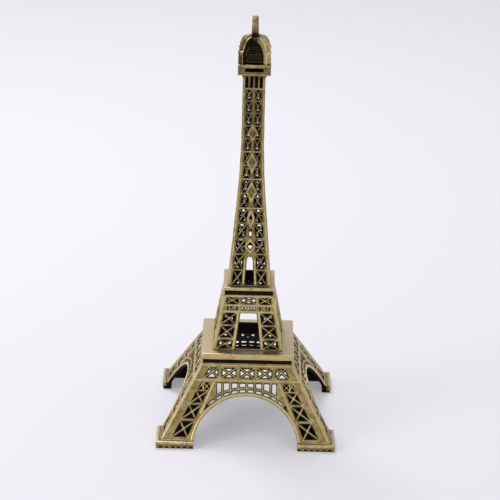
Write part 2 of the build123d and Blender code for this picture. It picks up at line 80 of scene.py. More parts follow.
foot_low, foot_high = corners_mm("foot_front_left")
base_low, base_high = corners_mm("base_panel_front")
deck_1_low, deck_1_high = corners_mm("first_deck")
mid_low, mid_high = corners_mm("mid_panel_front")
deck_2_low, deck_2_high = corners_mm("second_deck")
shaft_low, shaft_high = corners_mm("shaft_panel_front")
gallery_low, gallery_high = corners_mm("gallery")
step_low, step_high = corners_mm("cabin_step")
cabin_low, cabin_high = corners_mm("cabin")
hub_low, hub_high = corners_mm("crown_hub")
ring_low, ring_high = corners_mm("hanging_ring")

FOOT_HALF = -foot_low.x
FOOT_ARM = foot_high.x - foot_low.x
FOOT_H = foot_high.z
BASE_FOOT_HALF = -base_low.y
BASE_TOP_HALF = outer_half("base_panel_front", base_high.z)
MID_FOOT_HALF = -mid_low.y
MID_TOP_HALF = outer_half("mid_panel_front", mid_high.z)
SHAFT_FOOT_HALF = -shaft_low.y
SHAFT_TOP_HALF = outer_half("shaft_panel_front", shaft_high.z)
GALLERY_HALF = gallery_high.x

# ---- sizes of the castings, in millimetres -------------------------------------------------
STILE = 1.4

FOOT_THICK = 4.0
FOOT_SLAB = 2.6
FOOT_BAND = 1.75
FOOT_BAND_BACK = 0.4
FOOT_TEETH = 6

ARCH_HALF = 22.2
ARCH_RISE = 19.5
ARCH_RIM = 1.4
BASE_SIDE_STILE = 4.0
BELT_LOW = 27.0
BELT_HIGH = 31.4
BELT_PITCH = 7.7
SPANDREL_TOP = 24.95
SPANDREL_PITCH = 3.45
SPANDREL_BAR = 0.85
LEG_STILE = 2.3
LEG_INNER_FOOT = (1.5, 24.6)
LEG_INNER_LEAN = 0.402
LEG_BAYS = ((1.3, 8.2), (9.2, 15.2), (16.1, 21.1))
LATTICE_LOW = 21.8
LATTICE_HIGH = 24.8
LATTICE_INNER = 15.8
ROW_LOW = (ARCH_RIM, 2.7)
ROW_HIGH = 3.7
ROW_STEP = radians(8.2)
ROW_GAPS = 6
UPPER_GAPS = 4
ARCH_STEPS = 56
BASE_FRAME_LOW = 16.0

MID_STILE = 1.5
MID_BELT_LOW = 20.1
MID_BELT_HIGH = 23.1
MID_BELT_CENTRE_HALF = 3.0
MID_BELT_SIDE = 4.3
MID_BAYS = ((0.5, 4.5), (5.3, 10.4), (11.2, 16.2))
DOOR_LOW = (0.6, 5.5)
DOOR_HIGH = (16.2, 3.6)
FRIEZE_MIDDLE = 18.2
FRIEZE_SLOT = (0.55, 1.6)
FRIEZE_PITCH = 1.3
FRIEZE_SIDE_SLOTS = 4

SHAFT_WAIST = (100.0, 5.95)
SHAFT_NECK = (132.0, 4.6)
SHAFT_FLARE_Z = 154.0
SHAFT_LATTICE_TOP = 150.0
SHAFT_ROWS = 14
SHAFT_ROW_FIRST = 7.2
SHAFT_RAIL = 0.7
SHAFT_STEPS = 46
PORTAL_TOP = (76.7, 1.4)
PORTAL_FOOT_HALF = 2.1
PORTAL_STILE = 1.1
SPINE_LOW = (78.0, 2.3)
SPINE_HIGH = (108.0, 0.65)
LOZENGES = ((81.5, 2.6, 7.0), (93.7, 1.9, 9.0), (105.2, 2.5, 10.0), (118.0, 2.4, 10.0), (131.0, 2.3, 7.6))
LOZENGE_STROKE = 1.15
SPINE_SLOT = (87.1, 1.3, 3.4)
FLUTE_LOW = 150.6
FLUTE_HIGH = 155.3
FLUTE_PITCH = 2.0
FLUTE_W = 1.1
FLUTE_BLIND = (1.3, 2.6, 3.4)

DECK_CORNER = 0.22
FIRST_DECK = (2.6, 18.7, 13.6)
SECOND_DECK = (1.4, 10.2, 7.6)

GALLERY_SLOT = (157.9, 159.4, 3.9)
GALLERY_WALL = 1.0
GALLERY_SET_BACK = 0.22
GALLERY_HOLE = 3.4
GALLERY_TEETH = 13
STEP_LEDGE = 162.3
STEP_CORNER = 1.3
PLINTH_HALF = 3.9
CABIN_GROOVES = (164.9, 165.6)
CABIN_TIERS = ((3.0, 166.0), (2.3, 167.6), (1.8, 169.0))
CABIN_EAVES = 0.45
STRAP_WIDTH = 2.8
STRAP_FOOT = (6.4, 8.3)
STRAP_SHOULDER = (7.0, 8.5, 164.8, 166.6)
ARM_OUTER = (3.0, 165.5, 4.9, 6.2)
ARM_INNER = (2.0, 164.0, 4.4, 5.2)
ARM_STEPS = 16
RING_BORE_R = 2.0
RING_STEPS = 48
SOLDER_STEPS = 60

# ---- how every casting is made, in millimetres ----------------------------------------------
# Bars: width of the crest and of the root, in the base, the middle and the shaft.
BASE_BAR = (0.56, 1.35)
MID_BAR = (0.46, 1.05)
SHAFT_BAR = (0.4, 1.0)
FINE_BAR = (0.42, 0.8)
BAR_DEPTH = 0.14
BAR_LET_IN = 0.45
BAR_STAGGER = 0.04
FLANK_SHARE = 0.12
FLANK_DROP = 0.12
# Layers: depth of a panel's face, depth of the base's web, and what the layers share.
BASE_FACE = 0.5
BASE_WEB = 0.95
MID_FACE = 0.55
SHAFT_FACE = 0.5
LAYER_OVERLAP = 0.05
WEB_ROUNDING = 0.08
BEAD_ROOT = 0.25
SHARP_ANGLE = radians(42)


# ---- settings ------------------------------------------------------------------------------
class TowerCastingSizes(PropertyGroup):
    """Small sizes that give the castings their cast look."""

    rounding: FloatProperty(
        name="Rounding", description="Radius of the castings' rims",
        default=0.16 * MM, unit="LENGTH", precision=5,
    )
    draft: FloatProperty(
        name="Draft", description="How much an opening of the base narrows towards its back",
        default=0.45 * MM, unit="LENGTH", precision=5,
    )
    bead: FloatProperty(
        name="Bead", description="Height of the raised beads",
        default=0.16 * MM, unit="LENGTH", precision=5,
    )


class TowerFinish(PropertyGroup):
    """Colours and gloss of the antique brass finish, and the colour of its painted sheen."""

    edge: FloatVectorProperty(
        name="Bright edge", description="Colour of the most rubbed brass", subtype="COLOR",
        default=(0.70, 0.555, 0.265), min=0, max=1,
    )
    worn: FloatVectorProperty(
        name="Worn brass", description="Colour where the patina is rubbed off", subtype="COLOR",
        default=(0.365, 0.28, 0.113), min=0, max=1,
    )
    middle: FloatVectorProperty(
        name="Half-worn brass", description="Colour where the patina is half rubbed off", subtype="COLOR",
        default=(0.085, 0.062, 0.028), min=0, max=1,
    )
    patina: FloatVectorProperty(
        name="Patina", description="Colour of the dark patina in the hollows", subtype="COLOR",
        default=(0.012, 0.010, 0.010), min=0, max=1,
    )
    # Painted sheen: the paler colour that level faces are blended towards, a painted reflection of the
    # bright sky.
    painted_sheen: FloatVectorProperty(
        name="Level sheen", description="Paler colour of the brushed, level faces", subtype="COLOR",
        default=(0.47, 0.395, 0.275), min=0, max=1,
    )
    roughness: FloatProperty(
        name="Roughness", description="Roughness of the rubbed metal",
        default=0.36, min=0, max=1, subtype="FACTOR",
    )
    solder: FloatVectorProperty(
        name="Solder", description="Colour of the solder in the corners", subtype="COLOR",
        default=(0.06, 0.057, 0.055), min=0, max=1,
    )


class TowerStage(PropertyGroup):
    """Floor, lights and camera."""

    floor: FloatVectorProperty(
        name="Floor", description="Colour of the pale floor", subtype="COLOR",
        default=(0.48, 0.47, 0.50), min=0, max=1,
    )
    glow: FloatProperty(name="Glow", description="How much the floor is lit from below", default=0.29, min=0)
    sky: FloatProperty(name="Sky", description="Strength of the surrounding light", default=0.71, min=0)
    key: FloatProperty(
        name="Key", description="Power of the high softbox behind", default=5.2, min=0, unit="POWER"
    )
    fill: FloatProperty(
        name="Fill", description="Power of the softbox on the left", default=2.2, min=0, unit="POWER"
    )
    elevation: FloatProperty(
        name="Elevation", description="Height of the camera's view above level", default=radians(20.8),
        subtype="ANGLE",
    )
    roll: FloatProperty(
        name="Roll", description="Turn of the camera about its own view",
        default=radians(1.4), subtype="ANGLE",
    )
    distance: FloatProperty(
        name="Distance", description="From the camera to the tower's middle", default=0.8419, unit="LENGTH"
    )
    aim_height: FloatProperty(
        name="Aim height", description="Height that the camera looks at", default=0.0769, unit="LENGTH"
    )
    lens: FloatProperty(name="Lens", description="Focal length in millimetres", default=140.9, min=10)


# ---- closed shells -------------------------------------------------------------------------
def sweep(shells, rings, looped=False):
    """Adds a closed shell through rings of points, capped at its ends or looped."""
    rows = [[shells.verts.new(point) for point in ring] for ring in rings]
    following = rows[1:] + rows[:1] if looped else rows[1:]
    for near, far in zip(rows, following):
        for here in range(len(near)):
            there = (here + 1) % len(near)
            shells.faces.new((near[here], near[there], far[there], far[here]))
    if not looped:
        shells.faces.new(rows[0][::-1])
        shells.faces.new(rows[-1])


def block(shells, low, high, chamfer, cut=None):
    """Adds a box with all its edges chamfered, its upright ones by cut."""
    cut = cut or chamfer

    def ring(z, shrink):
        x0, y0, x1, y1 = low[0] + shrink, low[1] + shrink, high[0] - shrink, high[1] - shrink
        return [
            (x0 + cut, y0, z), (x1 - cut, y0, z), (x1, y0 + cut, z), (x1, y1 - cut, z),
            (x1 - cut, y1, z), (x0 + cut, y1, z), (x0, y1 - cut, z), (x0, y0 + cut, z),
        ]

    z0, z1 = low[2], high[2]
    sweep(shells, [ring(z0, chamfer), ring(z0 + chamfer, 0), ring(z1 - chamfer, 0), ring(z1, chamfer)])


def square_loop(half, z, rounding):
    """Points round a square with rounded corners at one height."""
    points = []
    for corner in range(4):
        for step in range(3):
            angle = radians(90 * corner + 45 * step)
            middle = radians(90 * corner + 45)
            side = half - rounding
            x = side * sqrt(2) * cos(middle) + rounding * cos(angle)
            y = side * sqrt(2) * sin(middle) + rounding * sin(angle)
            points.append((x, y, z))
    return points


def square_stack(shells, levels, rounding):
    """Adds a solid square block from (half-width, height) levels."""
    sweep(shells, [square_loop(half, z, rounding) for half, z in levels])


def square_ring(shells, profile, rounding):
    """Adds a square frame whose section is a closed (half-width, height) profile."""
    loops = [square_loop(half, z, rounding) for half, z in profile]
    sweep(shells, list(zip(*loops)), looped=True)


def round_stack(shells, levels, segments=40):
    """Adds a turned solid from (radius, height) levels."""
    turns = [2 * pi * k / segments for k in range(segments)]
    sweep(shells, [[(r * cos(t), r * sin(t), z) for t in turns] for r, z in levels])


def half_round(width, face, back, rise, base=None, steps=6):
    """Section of a bar as (side, depth): a round face on flanks that spread to a base width."""
    arc = [pi * k / steps for k in range(steps + 1)]
    section = [(width / 2 * cos(a), face + rise * (1 - sin(a))) for a in arc]
    if not base:
        return section + [(-width / 2, back), (width / 2, back)]
    flank = width / 2 + FLANK_SHARE * (base - width)
    shade = face + rise + FLANK_DROP
    return section + [(-flank, shade), (-base / 2, back), (base / 2, back), (flank, shade)]


def inset(points, distances):
    """The same outline with each side moved inwards by its own distance, or None if it closes up."""
    nearly_parallel, long_side, least_share = 0.05, 0.8, 0.25
    corners = [Vector(point) for point in points]
    ends = corners[1:] + corners[:1]
    area = sum(here.x * there.y - there.x * here.y for here, there in zip(corners, ends))
    lines = []
    for here, there, distance in zip(corners, ends, distances):
        along = (there - here).normalized()
        inward = Vector((-along.y, along.x)) * (1 if area > 0 else -1)
        lines.append((here + inward * distance, along))
    moved = []
    for k, (start, along) in enumerate(lines):
        before, leading = lines[k - 1]
        parting = leading.x * along.y - leading.y * along.x
        if abs(parting) > nearly_parallel:
            gap = start - before
            moved.append(before + leading * ((gap.x * along.y - gap.y * along.x) / parting))
        else:
            moved.append(start)
    for k, here in enumerate(corners):
        side = ends[k] - here
        left = side.dot(moved[(k + 1) % len(moved)] - moved[k])
        if side.length > long_side and left < least_share * side.length:
            return None
    return [(point.x, point.y) for point in moved]


def lozenge_outline(middle, half, height, inward):
    """The four corners of a lozenge, moved in from its outer edge."""
    share = 1 - inward / half
    tall = height / 2 * share
    return [(0, middle - tall), (half * share, middle), (0, middle + tall), (-half * share, middle)]


def crossing(corners):
    """Where the two diagonals of a bay meet."""
    first, second = Vector(corners[0]), Vector(corners[1])
    along, other = Vector(corners[2]) - first, Vector(corners[3]) - second
    gap = second - first
    share = (gap.x * other.y - gap.y * other.x) / (along.x * other.y - along.y * other.x)
    return first + along * share


class Casting:
    """The closed shells of one casting, in (across, up, depth) millimetres."""

    def __init__(self):
        self.shells = bmesh.new()

    def plate(self, outline, openings, thick, rounding, face=0.0):
        """A plate with openings and rounded rims, its face at one depth."""
        curve = bpy.data.curves.new("plate", "CURVE")
        curve.dimensions = "2D"
        curve.fill_mode = "BOTH"
        curve.extrude = thick / 2 - rounding
        curve.bevel_depth = rounding
        curve.bevel_resolution = 1
        curve.offset = -rounding
        for points in [outline, *openings]:
            spline = curve.splines.new("POLY")
            spline.points.add(len(points) - 1)
            for control, (across, up) in zip(spline.points, points):
                control.co = (across, up, 0, 1)
            spline.use_cyclic_u = True
        holder = bpy.data.objects.new("plate", curve)
        filled = bpy.data.meshes.new_from_object(holder)
        plate = bmesh.new()
        plate.from_mesh(filled)
        bmesh.ops.remove_doubles(plate, verts=plate.verts, dist=MM)
        for vertex in plate.verts:
            vertex.co.z = face + thick / 2 - vertex.co.z
        plate.to_mesh(filled)
        plate.free()
        self.shells.from_mesh(filled)
        bpy.data.meshes.remove(filled)
        bpy.data.objects.remove(holder)
        bpy.data.curves.remove(curve)

    def strip(self, path, section):
        """Sweeps a (side, depth) section along a path of (across, up) points."""
        points = [Vector(point) for point in path]
        rings = []
        for k, point in enumerate(points):
            before = points[k - 1] if k > 0 else point
            after = points[k + 1] if k < len(points) - 1 else point
            arriving = (point - before).normalized() if point != before else (after - point).normalized()
            leaving = (after - point).normalized() if after != point else arriving
            along = (arriving + leaving).normalized()
            widen = 1 / max(along.dot(leaving), 0.5)
            side = Vector((-along.y, along.x)) * widen
            rings.append([(point.x + side.x * s, point.y + side.y * s, d) for s, d in section])
        sweep(self.shells, rings)

    def bar(self, start, end, width, face, back, base=None):
        """A straight bar with a round face."""
        self.strip((start, end), half_round(width, face, back, 0.3 * width, base))

    def cross(self, corners, bar, face, back):
        """Two bars from corner to corner of a bay, let a little into its frame."""
        crest, root = bar
        for deeper, (first, last) in enumerate(((0, 2), (1, 3))):
            start, end = Vector(corners[first]), Vector(corners[last])
            into = (end - start).normalized() * BAR_LET_IN
            self.bar(start - into, end + into, crest, face + BAR_STAGGER * deeper, back, root)

    def pierced(self, outline, bays, slots, depths, bar, draft, rounding, soft, hollows=()):
        """A panel in layers: a face, a web with narrower openings, and a frame round its hollows."""
        front, web, thick = depths
        flare, half_root = -0.2 * draft, bar[1] / 2
        openings = [softened(bay, soft) for bay in bays]
        openings += [softened(inset(slot, [flare] * len(slot)), 0.6 * soft) for slot in slots]
        self.plate(outline, openings, front, rounding)
        gaps = []
        for bay in bays:
            middle = tuple(crossing(bay))
            for k, corner in enumerate(bay):
                gaps.append(inset([corner, bay[(k + 1) % 4], middle], (draft, half_root, half_root)))
            self.cross(bay, bar, BAR_DEPTH, front + 2 * LAYER_OVERLAP)
        for slot in slots:
            gaps.append(inset(slot, [0.5 * draft] * len(slot)))
        gaps = [softened(gap, 0.5 * soft) for gap in gaps if gap]
        self.layer(outline, gaps, front, web)
        if thick > web:
            self.layer(outline, hollows, web, thick)

    def layer(self, outline, openings, front, back):
        """A plate behind another, which it overlaps a little."""
        self.plate(outline, openings, back - front + LAYER_OVERLAP, WEB_ROUNDING, front - LAYER_OVERLAP)

    def bead(self, path, width, height):
        """A raised bead on the face."""
        self.strip(path, half_round(width, -height, BEAD_ROOT, height))

    def lozenge(self, middle, half, height, stroke, proud):
        """An open lozenge frame that stands proud of the face."""
        cut, root = 0.14, 0.5
        levels = (
            (0.0, root), (0.0, -proud + cut), (cut, -proud),
            (stroke - cut, -proud), (stroke, -proud + cut), (stroke, root),
        )
        rings = []
        for inward, depth in levels:
            rings.append([(x, z, depth) for x, z in lozenge_outline(middle, half, height, inward)])
        sweep(self.shells, list(zip(*rings)), looped=True)

    def mesh(self, name, place, wear_and_shade):
        """The casting as a mesh in metres, laid by place, with its rubbed parts, its painted shade and its
        painted highlights marked on each point.
        """
        laid = self.shells.copy()
        marks = laid.verts.layers.float.get("wear_and_shade") or laid.verts.layers.float.new("wear_and_shade")
        # Each point's mark holds rubbed wear and, on the decks, the crown straps and the ring, painted shade
        # and painted highlights.
        for vertex in laid.verts:
            vertex[marks] = wear_and_shade(vertex.co)
            vertex.co = place(vertex.co) * MM
        bmesh.ops.recalc_face_normals(laid, faces=laid.faces)
        for face in laid.faces:
            face.smooth = True
        for edge in laid.edges:
            if edge.is_manifold and edge.calc_face_angle() > SHARP_ANGLE:
                edge.smooth = False
        mesh = bpy.data.meshes.new(name)
        laid.to_mesh(mesh)
        laid.free()
        return mesh


def stand(casting, name, place, wear_and_shade, material, *nodes):
    """Puts a casting in the scene in place of its CAD nodes."""
    piece = bpy.data.objects.new(name, casting.mesh(name, place, wear_and_shade))
    bpy.context.scene.collection.objects.link(piece)
    piece.data.materials.append(material)
    shading = piece.modifiers.new("flat faces stay flat", "WEIGHTED_NORMAL")
    shading.keep_sharp = True
    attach(piece, "root")
    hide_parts(*nodes)
    return piece


def stand_around(casting, name, place, wear_and_shade, material, node, places):
    """Puts one copy of a front casting at each side or corner of the tower."""
    for side, turn in places.items():
        spin = Matrix.Rotation(radians(turn), 3, "Z")
        stand(casting, f"{name}_{side}", lambda point: spin @ place(point), wear_and_shade, material, f"{node}_{side}")


def as_drawn(point):
    return Vector(point)


def unworn(point):
    return 0.0


def panel_wear(face):
    """Bright on a panel's beads, worn on its face and dark a little way in."""
    shine, tallest, dark_depth, fade = 1.6, 0.2, 0.5, 0.25

    def wear_and_shade(point):
        if point[2] < 0:
            return face + shine * min(-point[2], tallest)
        return face * min(max((dark_depth - point[2]) / fade, 0), 1)

    return wear_and_shade


# ---- where a flat drawing is laid ----------------------------------------------------------
def mitred(x, y, z):
    """Keeps a front panel's point within its own quarter of the tower."""
    if abs(x) > -y:
        x = -y if x > 0 else y
    return Vector((x, y, z))


def slope_place(foot_half, foot_z, top_half, top_z):
    """Lays a drawing on a flat sloping side, its ends cut level."""
    lean = atan2(foot_half - top_half, top_z - foot_z)
    length = hypot(foot_half - top_half, top_z - foot_z)
    at_end = 0.005

    def place(point):
        across, up, depth = point
        y = -foot_half + up * sin(lean) + depth * cos(lean)
        z = foot_z + up * cos(lean) - depth * sin(lean)
        end_z = foot_z if up < at_end else top_z if up > length - at_end else z
        return mitred(across, y + (end_z - z) * sin(lean) / cos(lean), end_z)

    return place, length


def straight_between(at, low, high):
    """Value at a height between two (height, value) pairs, held beyond them."""
    share = min(max((at - low[0]) / (high[0] - low[0]), 0), 1)
    return low[1] + (high[1] - low[1]) * share


shaft_arc = (SHAFT_NECK[0] - SHAFT_WAIST[0]) / sin(
    2 * atan2(SHAFT_WAIST[1] - SHAFT_NECK[1], SHAFT_NECK[0] - SHAFT_WAIST[0])
)


def shaft_half(z):
    """Half the shaft's width at a height: straight, an arc, upright, then a flare."""
    if z <= SHAFT_WAIST[0]:
        return straight_between(z, (shaft_low.z, SHAFT_FOOT_HALF), SHAFT_WAIST)
    if z <= SHAFT_FLARE_Z:
        below_neck = max(SHAFT_NECK[0] - z, 0)
        return SHAFT_NECK[1] + shaft_arc - sqrt(shaft_arc**2 - below_neck**2)
    rise = shaft_high.z - SHAFT_FLARE_Z
    out = SHAFT_TOP_HALF - SHAFT_NECK[1]
    flare_arc = (rise**2 + out**2) / (2 * out)
    return SHAFT_NECK[1] + flare_arc - sqrt(flare_arc**2 - (z - SHAFT_FLARE_Z) ** 2)


def shaft_place(point):
    across, up, depth = point
    return mitred(across, depth - shaft_half(up), up)


# ---- base panels ---------------------------------------------------------------------------
base_place, base_length = slope_place(BASE_FOOT_HALF, base_low.z, BASE_TOP_HALF, base_high.z)
BASE_THICK = (BASE_TOP_HALF + base_high.y) * (base_high.z - base_low.z) / base_length
arch_r = (ARCH_HALF**2 + ARCH_RISE**2) / (2 * ARCH_RISE)
arch_middle = ARCH_RISE - arch_r


def base_edge(up):
    return straight_between(up, (0, BASE_FOOT_HALF), (base_length, BASE_TOP_HALF))


def base_outer(up):
    """Outer edge of the base's lattice."""
    return base_edge(up) - BASE_SIDE_STILE


def leg_inner(up):
    """Inner edge of a leg's lattice."""
    low, across = LEG_INNER_FOOT
    return across - LEG_INNER_LEAN * (up - low)


def quad(inner, outer, low, high):
    """A bay between two edges that depend on height, low inner corner first."""
    return [(inner(low), low), (outer(low), low), (outer(high), high), (inner(high), high)]


def mirrored(points):
    return [(-across, up) for across, up in points]


def both_sides(shapes):
    """The shapes of the right half, then their mirror images."""
    return shapes + [mirrored(shape) for shape in shapes]


def on_arch(outside, angle):
    """A point at a distance outside the arch, by its angle from the crown."""
    radius = arch_r + outside
    return (radius * sin(angle), arch_middle + radius * cos(angle))


def arch_height(outside, across):
    """Height of a curve that runs at a distance outside the arch."""
    return arch_middle + sqrt((arch_r + outside) ** 2 - across**2)


def arch_limit(outside):
    """Angle where a curve outside the arch meets the leg's inner stile."""
    angle = ROW_STEP
    while on_arch(outside, angle)[0] < leg_inner(on_arch(outside, angle)[1]) - LEG_STILE:
        angle += radians(0.1)
    return angle


def softened(points, radius):
    """The same outline with each corner cut round by three points."""
    soft = []
    for k, corner in enumerate(points):
        corner = Vector(corner)
        for neighbour in (points[k - 1], points[(k + 1) % len(points)]):
            towards = Vector(neighbour) - corner
            reach = min(radius, 0.45 * towards.length)
            soft.append(corner + towards.normalized() * reach)
        middle = (soft[-2] + soft[-1]) / 2
        soft.insert(-1, middle.lerp(corner, 0.42))
    return [(point.x, point.y) for point in soft]


def upper_row():
    """The tall gaps between the arch and the belt, right half."""
    gaps = []
    for k in range(UPPER_GAPS):
        left = k * SPANDREL_PITCH + SPANDREL_BAR / 2
        right = (k + 1) * SPANDREL_PITCH - SPANDREL_BAR / 2
        right = min(right, leg_inner(SPANDREL_TOP) - LEG_STILE)
        low_edge = [(left + (right - left) * n / 3, 0) for n in range(4)]
        low_edge = [(x, arch_height(ROW_HIGH, x)) for x, _ in low_edge]
        gaps.append(low_edge + [(right, SPANDREL_TOP), (left, SPANDREL_TOP)])
    return gaps


def lower_row():
    """The gaps that follow the arch's rim, right half."""
    gaps = []
    half_bar = SPANDREL_BAR / 2 / (arch_r + ROW_LOW[0])
    for k in range(ROW_GAPS):
        start = k * ROW_STEP + half_bar
        ends = [min((k + 1) * ROW_STEP - half_bar, arch_limit(outside)) for outside in ROW_LOW]
        if k == ROW_GAPS - 1:
            ends[0] = arch_limit(ROW_LOW[0])
            ends[1] = start + 0.01
        inner = [on_arch(ROW_LOW[0], start + (ends[0] - start) * n / 3) for n in range(4)]
        outer = [on_arch(ROW_LOW[1], start + (ends[1] - start) * n / 3) for n in range(3, -1, -1)]
        gaps.append(inner + outer)
    return gaps


def arch_sweep(outside, steps, short=0.0):
    """Points along the arch from foot to foot, ending short of its feet by an angle."""
    spring = acos(-arch_middle / arch_r)
    return [on_arch(outside, -spring + short + 2 * (spring - short) * n / steps) for n in range(steps + 1)]


def base_back_openings():
    """What the full-depth frame behind the base's web leaves open: the span over the arch, and the legs."""
    clear, foot = 0.1, 0.55
    arch = arch_sweep(ARCH_RIM + clear, 40, foot)
    leg = quad(lambda up: leg_inner(up) + clear, lambda up: base_outer(up) - 2 * clear, 1.5, 24.8)
    side = [(leg_inner(up) - LEG_STILE, up) for up in (BASE_FRAME_LOW, SPANDREL_TOP)]
    side += [(base_outer(up), up) for up in (SPANDREL_TOP, BELT_HIGH)]
    return [arch + side + mirrored(side)[::-1], *both_sides([leg])]


def base_casting(sizes):
    """The arch, the belt of crossed bays, the spandrel grid and the legs' lattice."""
    casting = Casting()
    bead = sizes.bead / MM
    outline = [(-BASE_FOOT_HALF, 0), *arch_sweep(0, ARCH_STEPS), (BASE_FOOT_HALF, 0)]
    outline += [(BASE_TOP_HALF, base_length), (-BASE_TOP_HALF, base_length)]
    half_pitch = BELT_PITCH / 2
    half_stile = STILE / 2
    belt = (BELT_LOW, BELT_HIGH)
    centre = quad(lambda up: half_stile - half_pitch, lambda up: half_pitch - half_stile, *belt)
    second = quad(lambda up: half_pitch + half_stile, lambda up: 3 * half_pitch - half_stile, *belt)
    end = quad(lambda up: 3 * half_pitch + half_stile, base_outer, *belt)
    legs = [quad(leg_inner, base_outer, low, high) for low, high in LEG_BAYS]
    bays = [centre] + both_sides([second, end, *legs])
    lattice = quad(lambda up: LATTICE_INNER, base_outer, LATTICE_LOW, LATTICE_HIGH)
    slots = both_sides(upper_row() + lower_row() + [lattice])
    casting.pierced(
        outline, bays, slots, (BASE_FACE, BASE_WEB, BASE_THICK), BASE_BAR,
        draft=sizes.draft / MM, rounding=sizes.rounding / MM, soft=0.45, hollows=base_back_openings(),
    )
    fine_back = BASE_WEB - LAYER_OVERLAP
    split = (LATTICE_INNER + base_outer(LATTICE_LOW)) / 2
    for sign in (1, -1):
        halves = (
            quad(lambda up: LATTICE_INNER, lambda up: split, LATTICE_LOW, LATTICE_HIGH),
            quad(lambda up: split, base_outer, LATTICE_LOW, LATTICE_HIGH),
        )
        for half in halves:
            casting.cross([(sign * across, up) for across, up in half], FINE_BAR, 0.2, fine_back)
        upright = ((sign * split, LATTICE_LOW - 0.3), (sign * split, LATTICE_HIGH + 0.3))
        casting.bar(*upright, 0.5, 0.12, fine_back, FINE_BAR[1])
    casting.bead(arch_sweep(ARCH_RIM / 2, ARCH_STEPS), 0.8, bead)
    for sign in (1, -1):
        edge = [(sign * (base_edge(up) - 0.5), up) for up in (0.4, base_length - 0.5)]
        casting.bead(edge, 0.6, bead)
        stile = [(sign * (leg_inner(up) - LEG_STILE / 2), up) for up in (11.5, SPANDREL_TOP)]
        casting.bead(stile, 0.5, 0.6 * bead)
    for up in ((BELT_LOW + SPANDREL_TOP) / 2, (BELT_HIGH + base_length) / 2):
        across = base_edge(up) - 1.1
        casting.bead([(-across, up), (across, up)], 0.6, 0.7 * bead)
    return casting


# ---- middle panels -------------------------------------------------------------------------
mid_place, mid_length = slope_place(MID_FOOT_HALF, mid_low.z, MID_TOP_HALF, mid_high.z)
MID_THICK = (MID_TOP_HALF + mid_high.y) * (mid_high.z - mid_low.z) / mid_length


def mid_edge(up):
    return straight_between(up, (0, MID_FOOT_HALF), (mid_length, MID_TOP_HALF))


def mid_outer(up):
    return mid_edge(up) - MID_STILE


def door(up):
    """Half the width of the tall middle opening."""
    return straight_between(up, DOOR_LOW, DOOR_HIGH)


def door_stile(up):
    return door(up) + STILE


def frieze_slots():
    """Upright slots of the frieze: five in the middle and four each side."""
    middles = [FRIEZE_PITCH * n for n in range(-2, 3)]
    for n in range(FRIEZE_SIDE_SLOTS):
        side = MID_BELT_SIDE + FRIEZE_PITCH * (n + 0.5)
        middles += [side, -side]
    half_w, half_h = FRIEZE_SLOT[0] / 2, FRIEZE_SLOT[1] / 2
    low, high = FRIEZE_MIDDLE - half_h, FRIEZE_MIDDLE + half_h
    return [[(x - half_w, low), (x + half_w, low), (x + half_w, high), (x - half_w, high)] for x in middles]


def mid_casting(sizes):
    """The tall opening between two latticed stiles, the frieze and the belt."""
    casting = Casting()
    bead = sizes.bead / MM
    outline = [(-MID_FOOT_HALF, 0), (MID_FOOT_HALF, 0)]
    outline += [(MID_TOP_HALF, mid_length), (-MID_TOP_HALF, mid_length)]
    opening = quad(lambda up: -door(up), door, DOOR_LOW[0], DOOR_HIGH[0])
    centre = quad(
        lambda up: -MID_BELT_CENTRE_HALF, lambda up: MID_BELT_CENTRE_HALF, MID_BELT_LOW, MID_BELT_HIGH
    )
    side = quad(lambda up: MID_BELT_SIDE, mid_outer, MID_BELT_LOW, MID_BELT_HIGH)
    legs = [quad(door_stile, mid_outer, low, high) for low, high in MID_BAYS]
    bays = [centre] + both_sides([side, *legs])
    casting.pierced(
        outline, bays, frieze_slots() + [opening], (MID_FACE, MID_THICK, MID_THICK), MID_BAR,
        draft=0.75 * sizes.draft / MM, rounding=0.85 * sizes.rounding / MM, soft=0.35,
    )
    for sign in (1, -1):
        edge = [(sign * (mid_edge(up) - 0.5), up) for up in (0.4, mid_length - 0.4)]
        casting.bead(edge, 0.55, 0.8 * bead)
        stile = [(sign * (door(up) + STILE / 2), up) for up in (0.4, DOOR_HIGH[0] + 0.5)]
        casting.bead(stile, 0.6, 0.8 * bead)
    for up in (DOOR_HIGH[0] + 0.62, FRIEZE_MIDDLE + 1.35, mid_length - 0.5):
        across = mid_edge(up) - 0.9
        casting.bead([(-across, up), (across, up)], 0.45, 0.7 * bead)
    return casting


# ---- shaft panels --------------------------------------------------------------------------
def portal(up):
    """Half the width of the portal at the shaft's foot."""
    return straight_between(up, (shaft_low.z, PORTAL_FOOT_HALF), PORTAL_TOP)


def spine(up):
    """Inner edge of the shaft's lattice."""
    if up < SPINE_LOW[0]:
        return portal(up) + PORTAL_STILE
    return straight_between(up, SPINE_LOW, SPINE_HIGH)


def shaft_outer(up):
    return shaft_half(up) - STILE


def shaft_levels():
    """Heights of the rails between the rows of bays, which get lower towards the top."""
    height = SHAFT_LATTICE_TOP - shaft_low.z
    shrink = 2 * (SHAFT_ROWS * SHAFT_ROW_FIRST - height) / (SHAFT_ROWS * (SHAFT_ROWS - 1))
    levels = [shaft_low.z]
    for row in range(SHAFT_ROWS):
        levels.append(levels[-1] + SHAFT_ROW_FIRST - shrink * row)
    return levels


def oblong(across, up, width, height):
    """The four corners of an upright slot about its middle."""
    left, right, low, high = across - width / 2, across + width / 2, up - height / 2, up + height / 2
    return [(left, low), (right, low), (right, high), (left, high)]


